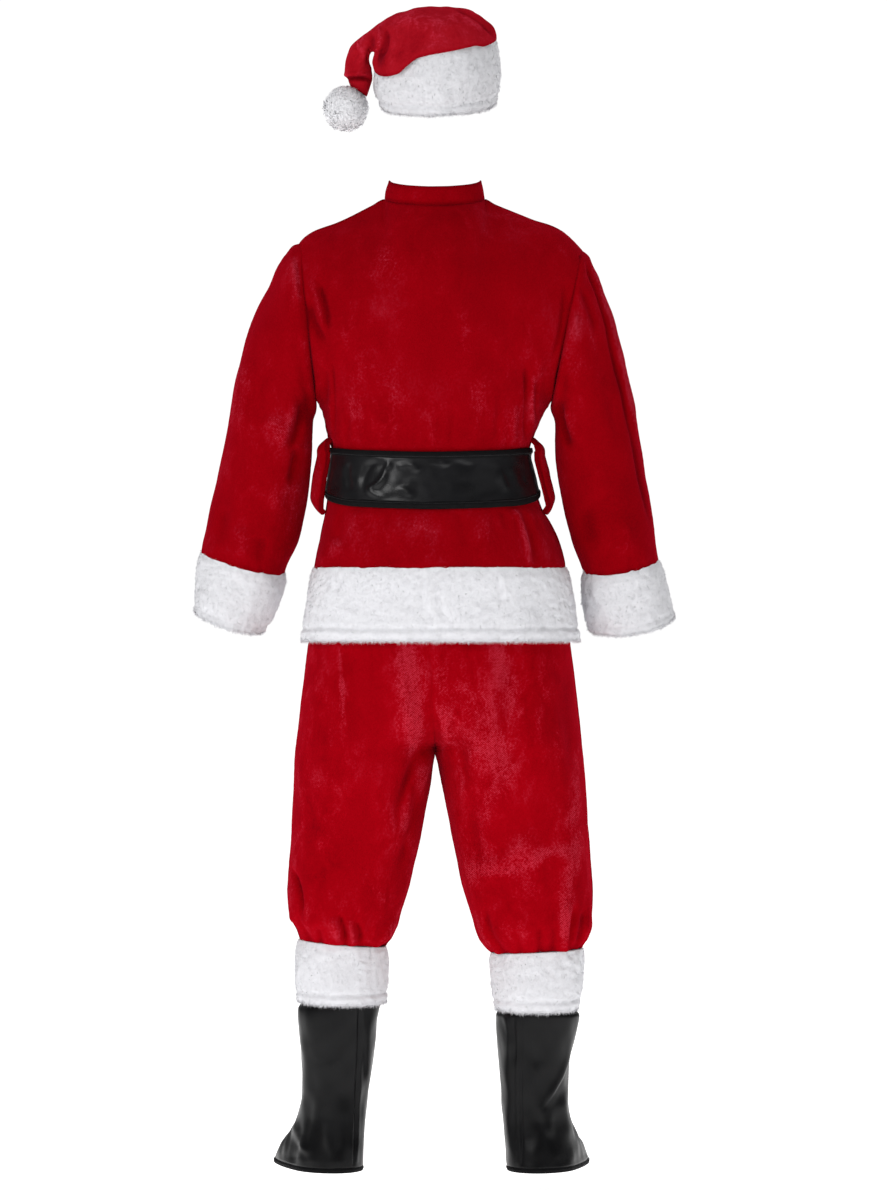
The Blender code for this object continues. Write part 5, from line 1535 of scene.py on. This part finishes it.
def make_sleeves():
    """Two set-in sleeves; the head of each stands a little proud of the armhole seam."""
    def relief(arm, seed):
        base = red_shape(SLEEVE_CREASES[arm], seed, ends=False)
        depth, size = SLEEVE_CUFF["gathers"]

        def shape(ground, normal, closed):
            run = run_from_start(ground)
            cuff = run[-1:] - run
            head = swell(run - SLEEVE_HEAD["at"], *SLEEVE_HEAD["roll"]) - swell(run, *SLEEVE_HEAD["seam"])
            gathered = depth * gathers(ground, size, seed + 5) * (1 - ease(0, SLEEVE_CUFF["reach"], cuff))
            middle = ease(*SLEEVE_HEAD["flat"], run) * ease(*SLEEVE_CUFF["ease"], cuff)
            return base(ground, normal, closed) * middle + head + gathered
        return shape

    for arm, word in SIDES:
        made = shell(f"sleeve_{word}_cloth", sections(SLEEVES[arm]), spaced_round(ROUND["sleeve"]),
                     spaced(-0.3, 10, 560), finish("red_plush"), turn=-arm, closed=True,
                     shape=relief(arm, SEEDS["sleeve"] + arm), creases=SLEEVE_CREASES[arm])
        declare(made, f"sleeve_{word}")


def make_sleeve_bands():
    """White fur cuffs."""
    for arm, word in SIDES:
        furry(f"sleeve_band_{word}", sections(SLEEVE_BANDS[arm]), spaced_round(ROUND["sleeve band"]),
              spaced(0.03, 2, 92, 0.75), SEEDS["sleeve band"] + arm, turn=-arm, stitch=10,
              place="cuff_")


def belt_lift(angle):
    """How far the belt's back stands off the jacket: a little more where the fronts lap."""
    near_lap = 1 - ease(*BELT_OVER_LAP, np.abs(angle - 1.5 * TURN))
    return BELT_REST + OVERLAP_LIFT["jacket"] * near_lap


def binding_relief(ground, normal, closed):
    """A folded tape, thickest along its middle."""
    roll = BINDING_ROLL
    middle = roll["lift"] * ease(0, roll["width"], end_distance(ground)) - roll["sunk"]
    return middle + roll["wave"] * waves(ground, roll["size"], SEEDS["binding"])


def make_belt():
    """The wide strap, the tape that binds both edges and the stitches in the tape."""
    def relief(ground, normal, closed):
        lift = folds(BELT_CREASES, ground, normal, BELT_DEEP) + uneven(ground, SEEDS["belt"], BELT_WAVES)
        return lift * ease(*BELT_EASE, end_distance(ground))

    angles = spaced_round(ROUND["belt"], 0.8)
    low, high = BINDING_SHARE, 1 - BINDING_SHARE
    rows = spaced(low + BINDING_GAP, high - BINDING_GAP, 72, 0.6)
    strap = shell("belt_strap_cloth", belt, angles, rows, finish("leatherette"),
                  over=lambda a, b: belt_lift(a) + STRAP, cloth=STRAP, closed=True, shape=relief)
    for word, first, last, row in (("top", high, 1.0, 2), ("bottom", 0.0, low, -3)):
        tape = shell(f"belt_binding_{word}_cloth", belt, angles, spaced(first, last, 9, 0.25),
                     finish("binding"), over=lambda a, b: belt_lift(a) + STRAP + BINDING_RISE,
                     cloth=BINDING_CLOTH, closed=True, shape=binding_relief)
        path = np.concatenate((tape.outer[row], tape.outer[row][:1])) + 0.1
        facing_out = np.concatenate((tape.normal[row], tape.normal[row][:1]))
        sewn = stitches(f"belt_stitches_{word}", path, facing_out, finish("thread"))
        declare(tape, f"belt_binding_{word}",
                folded=True)
    declare(strap, "belt_strap")


def finish_buckle():
    """The buckle's frame and prong keep their CAD shape and take a brushed finish."""
    for name in ("buckle_frame", "buckle_prong"):
        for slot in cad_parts[name].material_slots:
            slot.material = finish("metal")


def make_belt_loops():
    """Plush carriers that arch over the belt at each side."""
    def rolled(ground, normal, closed):
        sides = edge_distance(ground, False)
        roll = swell(sides - LOOP_EDGE["at"], *LOOP_EDGE["roll"])
        return 0.5 * waves(ground, 26, SEEDS["belt loop"]) - swell(sides, *LOOP_EDGE["fold"]) + roll

    def cupped(slit):
        def over(across, along):
            room = np.maximum(read(LOOP_ARCH, "along", along)["stand_off"] - BELT_PROUD - slit, 0.0)
            middle = sum(LOOP_ACROSS) / 2
            return LOOP_CLOTH - room * ease(0.1, 0.9, (across - middle) / (LOOP_ACROSS[1] - middle))
        return over

    for side, word in SIDES:
        made = shell(f"belt_loop_{word}_cloth", loop_path(side), spaced(*LOOP_ACROSS, 62, 0.5),
                     spaced(0, 7, 140, 0.6), finish("red_plush"), turn=-side, over=cupped(LOOP_SLIT[side]),
                     cloth=LOOP_THICK, shape=rolled, creases={})
        declare(made, f"belt_loop_{word}")


def make_trousers():
    """Four panels gathered into the leg bands."""
    def relief(seed):
        base = red_shape(TROUSER_CREASES, seed, seam=1.6, ends=False)
        depth, size = LEG_GATHERS["gathers"]

        def shape(ground, normal, closed):
            height = ground[..., 2]
            gathered = depth * gathers(ground, size, seed + 5) * (1 - ease(*LEG_GATHERS["reach"], height))
            tucked = LEG_GATHERS["tuck"] * (1 - ease(*LEG_GATHERS["tuck_reach"], height))
            return base(ground, normal, closed) * (1 - ease(*LEG_HIDDEN, height)) + gathered - tucked
        return shape

    for leg, leg_word in SIDES:
        for side, side_word in ((FACE_BACK, "back"), (FACE_FRONT, "front")):
            node = f"trouser_{side_word}_{leg_word}"
            made = shell(f"{node}_cloth", trouser(leg, side), spaced(-TROUSER_LAP, 1 + SEAM_LAP, 290),
                         spaced(*TROUSER_REACH, 700), finish("trouser_plush"), turn=-leg * side,
                         shape=relief(SEEDS["trousers"] + 2 * leg + side), creases=TROUSER_CREASES)
            declare(made, node)


def make_waist_casing():
    """The elastic casing at the trousers' waist."""
    depth, size = CASING_GATHERS

    def relief(ground, normal, closed):
        return depth * gathers(ground, size, SEEDS["casing"]) - depth

    casing = shell("trouser_waist_casing_cloth", ring_at, spaced_round(ROUND["waist"]),
                   spaced(CASING["bottom"], CASING["top"], 33), finish("red_plush"), over=-CASING["inset"],
                   cloth=CASING["cloth"], closed=True, shape=relief, creases={})
    declare(casing, "trouser_waist_casing")


def make_leg_bands():
    """White fur below the gathered trouser legs."""
    for leg, word in SIDES:
        furry(f"leg_band_{word}", sections(LEG_BANDS[leg]), spaced_round(ROUND["leg band"]),
              spaced(0.04, 2, 92, 0.75), SEEDS["leg band"] + leg, turn=-leg, stitch=14)


def make_boot_covers():
    """Leatherette covers that fall in soft creases to the floor, with a bound lower edge."""
    def relief(seed):
        def shape(ground, normal, closed):
            lift = folds(BOOT_CREASES, ground, normal) + uneven(ground, seed, BOOT_WAVES)
            return lift * ease(*BOOT_EASE, end_distance(ground))
        return shape

    for leg, word in SIDES:
        heights = BOOTS[leg]["height"]
        bound = heights.min() + BOOT_BINDING
        made = shell(f"boot_cover_{word}_cloth", boot(leg), spaced_round(ROUND["boot cover"], 0.6),
                     spaced(bound + 0.5, heights.max(), 270, 0.7), finish("boot_leatherette"), turn=leg,
                     closed=True, cloth=BOOT_CLOTH, shape=relief(SEEDS["boot cover"] + leg))
        declare(made, f"boot_cover_{word}")
        tape = shell(f"boot_binding_{word}_cloth", boot(leg), spaced_round(ROUND["boot edge"]),
                     spaced(heights.min(), bound, 6, 0.25), finish("binding"), turn=leg, closed=True,
                     shape=binding_relief, **BOOT_TAPE)
        declare(tape, f"boot_binding_{word}",
                folded=True)


def cap_band(angle, along):
    """The cap's fur band; its top follows the red crown's edge where that rises."""
    edge = crown_edge(angle)
    rise = np.maximum(edge["lift"], 0.0) * (1 - ease(0.0, 1.0, along))
    return sections(HAT_BAND)(angle, along) + point(0.0, 0.0, rise)


def make_cap():
    """The crown with its hanging tail, and the fur band round its opening."""
    def relief(ground, normal, closed):
        run = run_from_start(ground)
        lift = folds(CROWN_CREASES, ground, normal, CAP_DEEP) + uneven(ground, SEEDS["crown"], CAP_WAVES)
        lift = lift * ease(*CAP_EDGE["top"], run) * ease(*CAP_EDGE["tip"], run[-1:] - run)
        return lift + swell(run - CAP_EDGE["at"], *CAP_EDGE["roll"])

    made = shell("hat_crown_cloth", crown, spaced_round(ROUND["crown"], 0.9), spaced(0, 11, 330, 0.75),
                 finish("cap_plush_painted_light"), turn=-1, closed=True, cloth=2.4, shape=relief, creases=CROWN_CREASES)
    declare(made, "hat_crown")
    furry("hat_band", cap_band, spaced_round(ROUND["cap band"]), spaced(0.01, 2, 90, 0.75), SEEDS["cap band"],
          over=1.0, cloth=4.5, place="cap_")


def make_pompom():
    """A fluffy ball at the tip of the tail."""
    low, high = (np.array(corner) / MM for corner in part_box("hat_pompom"))
    centre = (low + high) / 2 + np.array([0.0, 0.0, CARRY_HEIGHT])
    radius = (high - low).min() / 2
    down = np.linspace(0.02, TURN - 0.02, POMPOM_ROWS)
    polar, azimuth = np.meshgrid(down, np.arange(POMPOM_COLUMNS) * 2 * TURN / POMPOM_COLUMNS, indexing="ij")
    way = point(np.sin(polar) * np.cos(azimuth), np.sin(polar) * np.sin(azimuth), np.cos(polar))
    size = radius * (0.93 + uneven(way * 30, SEEDS["pom-pom"], POMPOM_WAVES))
    skin = centre + way * size[..., None]
    faces = grid_faces(*skin.shape[:2], True, True)
    count = skin.shape[1]
    faces.append(list(range(count)))
    faces.append([(len(skin) - 1) * count + j for j in range(count)][::-1])
    ball = add_mesh("hat_pompom_ball", skin, faces, finish("pompom_fur_painted_light"))
    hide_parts("hat_pompom")
    strands = fur("hat_pompom_strands", skin, way, finish("pompom_fur_painted_light"), seed=SEEDS["pom-pom strands"],
                  **POMPOM_PILE)


# Studio
def add_light(name, place, aim, size, power):
    """A square soft white light aimed at a point."""
    lamp = bpy.data.lights.new(name, "AREA")
    lamp.shape = "SQUARE"
    lamp.size = size
    lamp.energy = power
    made = bpy.data.objects.new(name, lamp)
    made.location = place
    made.rotation_euler = (Vector(aim) - Vector(place)).to_track_quat("-Z", "Y").to_euler()
    bpy.context.scene.collection.objects.link(made)


def make_world(brightness):
    """Even white surroundings, brighter where the camera looks past the suit and dimmer in reflections."""
    world = bpy.data.worlds.new("studio_air")
    world.use_nodes = True
    tree = world.node_tree
    air = tree.nodes["Background"]
    air.inputs["Color"].default_value = (1.0, 1.0, 1.0, 1.0)
    path = tree.nodes.new("ShaderNodeLightPath")
    gloss = tree.nodes.new("ShaderNodeMapRange")
    tree.links.new(path.outputs["Is Glossy Ray"], gloss.inputs["Value"])
    gloss.inputs["To Min"].default_value = brightness
    gloss.inputs["To Max"].default_value = brightness * 0.4
    strength = tree.nodes.new("ShaderNodeMapRange")
    tree.links.new(path.outputs["Is Camera Ray"], strength.inputs["Value"])
    tree.links.new(gloss.outputs["Result"], strength.inputs["To Min"])
    strength.inputs["To Max"].default_value = 1.05
    tree.links.new(strength.outputs["Result"], air.inputs["Strength"])
    bpy.context.scene.world = world


def make_floor():
    """A wide pale floor under the boot covers."""
    bpy.ops.mesh.primitive_plane_add(size=FLOOR_SIZE, location=(0, 0, -CARRY_HEIGHT * MM))
    floor = bpy.context.object
    floor.name = "studio_floor"
    floor.data.materials.append(floor_finish("pale_floor"))


def make_camera(lens):
    """A level camera behind the suit."""
    camera = bpy.data.objects.new("camera", bpy.data.cameras.new("camera"))
    camera.data.sensor_width = SENSOR
    camera.data.lens = lens
    camera.location = CAMERA_PLACE
    camera.rotation_euler = (TURN / 2, 0, TURN)
    bpy.context.scene.collection.objects.link(camera)
    bpy.context.scene.camera = camera


def make_studio():
    """The surroundings, the floor, the camera and the lights."""
    settings = bpy.context.scene.plush_suit
    make_world(settings.air)
    make_floor()
    make_camera(settings.lens)
    for name, place, aim, size, power in LIGHTS:
        add_light(name, place, aim, size, getattr(settings, power))
    bpy.context.scene.view_settings.view_transform = "Standard"


# Add-on
class SuitSettings(bpy.types.PropertyGroup):
    """Sizes, colours and lights that a user may change before the pieces are made."""

    mesh_step: FloatProperty(
        name="Cloth mesh step", description="Spacing of the points in the cloth meshes",
        default=0.0038, min=0.002, max=0.02, unit="LENGTH")
    fur_length: FloatProperty(
        name="Fur length", description="Mean length of the white fur's strands",
        default=0.0044, min=0.001, max=0.02, unit="LENGTH")
    fur_density: FloatProperty(
        name="Fur density", description="Strands on each square millimetre of trim",
        default=0.2, min=0.0, max=1.0)
    red: FloatVectorProperty(
        name="Red plush", description="Colour of the red pile",
        default=(0.265, 0.0004, 0.0036), min=0.0, max=1.0, size=3, subtype="COLOR")
    white: FloatVectorProperty(
        name="White fur", description="Colour of the fur trim",
        default=(0.80, 0.80, 0.83), min=0.0, max=1.0, size=3, subtype="COLOR")
    black: FloatVectorProperty(
        name="Leatherette", description="Colour of belt and boot covers",
        default=(0.0042, 0.0042, 0.0048), min=0.0, max=1.0, size=3, subtype="COLOR")
    metal: FloatVectorProperty(
        name="Buckle", description="Colour of the buckle's metal",
        default=(0.62, 0.60, 0.56), min=0.0, max=1.0, size=3, subtype="COLOR")
    thread: FloatVectorProperty(
        name="Thread", description="Colour of the stitches",
        default=(0.035, 0.035, 0.038), min=0.0, max=1.0, size=3, subtype="COLOR")
    lens: FloatProperty(
        name="Lens", description="Focal length of the camera in millimetres",
        default=154.5, min=10.0, unit="CAMERA")
    air: FloatProperty(
        name="Air light", description="Strength of the even white surroundings", default=0.23, min=0.0)
    key_power: FloatProperty(
        name="Key light", description="Power of the key lights", default=112.0, min=0.0, unit="POWER")
    fill_power: FloatProperty(
        name="Fill light", description="Power of the fill lights", default=5.0, min=0.0, unit="POWER")
    top_power: FloatProperty(
        name="Top light", description="Power of the light overhead", default=40.0, min=0.0, unit="POWER")


class MakeStudio(bpy.types.Operator):
    """Adds the floor, the lights, the surroundings and the camera"""

    bl_idname = "plush_suit.make_studio"
    bl_label = "Studio"

    def execute(self, context):
        make_studio()
        return {"FINISHED"}


class MakeJacket(bpy.types.Operator):
    """Adds the jacket's back and fronts"""

    bl_idname = "plush_suit.make_jacket"
    bl_label = "Jacket"

    def execute(self, context):
        make_jacket()
        return {"FINISHED"}


class MakeCollar(bpy.types.Operator):
    """Adds the stand collar"""

    bl_idname = "plush_suit.make_collar"
    bl_label = "Collar"

    def execute(self, context):
        make_collar()
        return {"FINISHED"}


class MakeSleeves(bpy.types.Operator):
    """Adds both sleeves"""

    bl_idname = "plush_suit.make_sleeves"
    bl_label = "Sleeves"

    def execute(self, context):
        make_sleeves()
        return {"FINISHED"}


class MakeHemBands(bpy.types.Operator):
    """Adds the fur bands round the hem"""

    bl_idname = "plush_suit.make_hem_bands"
    bl_label = "Hem bands"

    def execute(self, context):
        make_hem_bands()
        return {"FINISHED"}


class MakeSleeveBands(bpy.types.Operator):
    """Adds the fur cuffs"""

    bl_idname = "plush_suit.make_sleeve_bands"
    bl_label = "Cuffs"

    def execute(self, context):
        make_sleeve_bands()
        return {"FINISHED"}


class MakeBelt(bpy.types.Operator):
    """Adds the belt, its bindings and stitches"""

    bl_idname = "plush_suit.make_belt"
    bl_label = "Belt"

    def execute(self, context):
        make_belt()
        return {"FINISHED"}


class FinishBuckle(bpy.types.Operator):
    """Gives the buckle its metal finish"""

    bl_idname = "plush_suit.finish_buckle"
    bl_label = "Buckle"

    def execute(self, context):
        finish_buckle()
        return {"FINISHED"}


class MakeBeltLoops(bpy.types.Operator):
    """Adds the belt loops"""

    bl_idname = "plush_suit.make_belt_loops"
    bl_label = "Belt loops"

    def execute(self, context):
        make_belt_loops()
        return {"FINISHED"}


class MakeTrousers(bpy.types.Operator):
    """Adds the trousers' panels and waist casing"""

    bl_idname = "plush_suit.make_trousers"
    bl_label = "Trousers"

    def execute(self, context):
        make_trousers()
        make_waist_casing()
        return {"FINISHED"}


class MakeLegBands(bpy.types.Operator):
    """Adds the fur bands of the legs"""

    bl_idname = "plush_suit.make_leg_bands"
    bl_label = "Leg bands"

    def execute(self, context):
        make_leg_bands()
        return {"FINISHED"}


class MakeBootCovers(bpy.types.Operator):
    """Adds the boot covers and their bindings"""

    bl_idname = "plush_suit.make_boot_covers"
    bl_label = "Boot covers"

    def execute(self, context):
        make_boot_covers()
        return {"FINISHED"}


class MakeCap(bpy.types.Operator):
    """Adds the cap's crown and band"""

    bl_idname = "plush_suit.make_cap"
    bl_label = "Cap"

    def execute(self, context):
        make_cap()
        return {"FINISHED"}


class MakePompom(bpy.types.Operator):
    """Adds the ball at the cap's tip"""

    bl_idname = "plush_suit.make_pompom"
    bl_label = "Pom-pom"

    def execute(self, context):
        make_pompom()
        return {"FINISHED"}


OPERATORS = (
    MakeStudio, MakeJacket, MakeCollar, MakeSleeves, MakeHemBands, MakeSleeveBands, MakeBelt, FinishBuckle,
    MakeBeltLoops, MakeTrousers, MakeLegBands, MakeBootCovers, MakeCap, MakePompom,
)


class SuitPanel(bpy.types.Panel):
    """Lists the settings and the pieces"""

    bl_idname = "VIEW3D_PT_plush_suit"
    bl_label = "Plush suit"
    bl_space_type = "VIEW_3D"
    bl_region_type = "UI"
    bl_category = "Plush suit"

    def draw(self, context):
        """Draws the settings, then a button for each operator."""
        for name in SuitSettings.__annotations__:
            self.layout.prop(context.scene.plush_suit, name)
        for operator in OPERATORS:
            self.layout.operator(operator.bl_idname)


CLASSES = (SuitSettings, *OPERATORS, SuitPanel)


def register():
    """Adds the classes and the settings to Blender."""
    for item in CLASSES:
        bpy.utils.register_class(item)
    bpy.types.Scene.plush_suit = PointerProperty(type=SuitSettings)


def unregister():
    """Takes the classes and the settings out again."""
    del bpy.types.Scene.plush_suit
    for item in reversed(CLASSES):
        bpy.utils.unregister_class(item)


def main():
    """Makes every piece in order."""
    register()
    for operator in OPERATORS:
        group, name = operator.bl_idname.split(".")
        getattr(getattr(bpy.ops, group), name)()


if __name__ == "__main__":
    main()
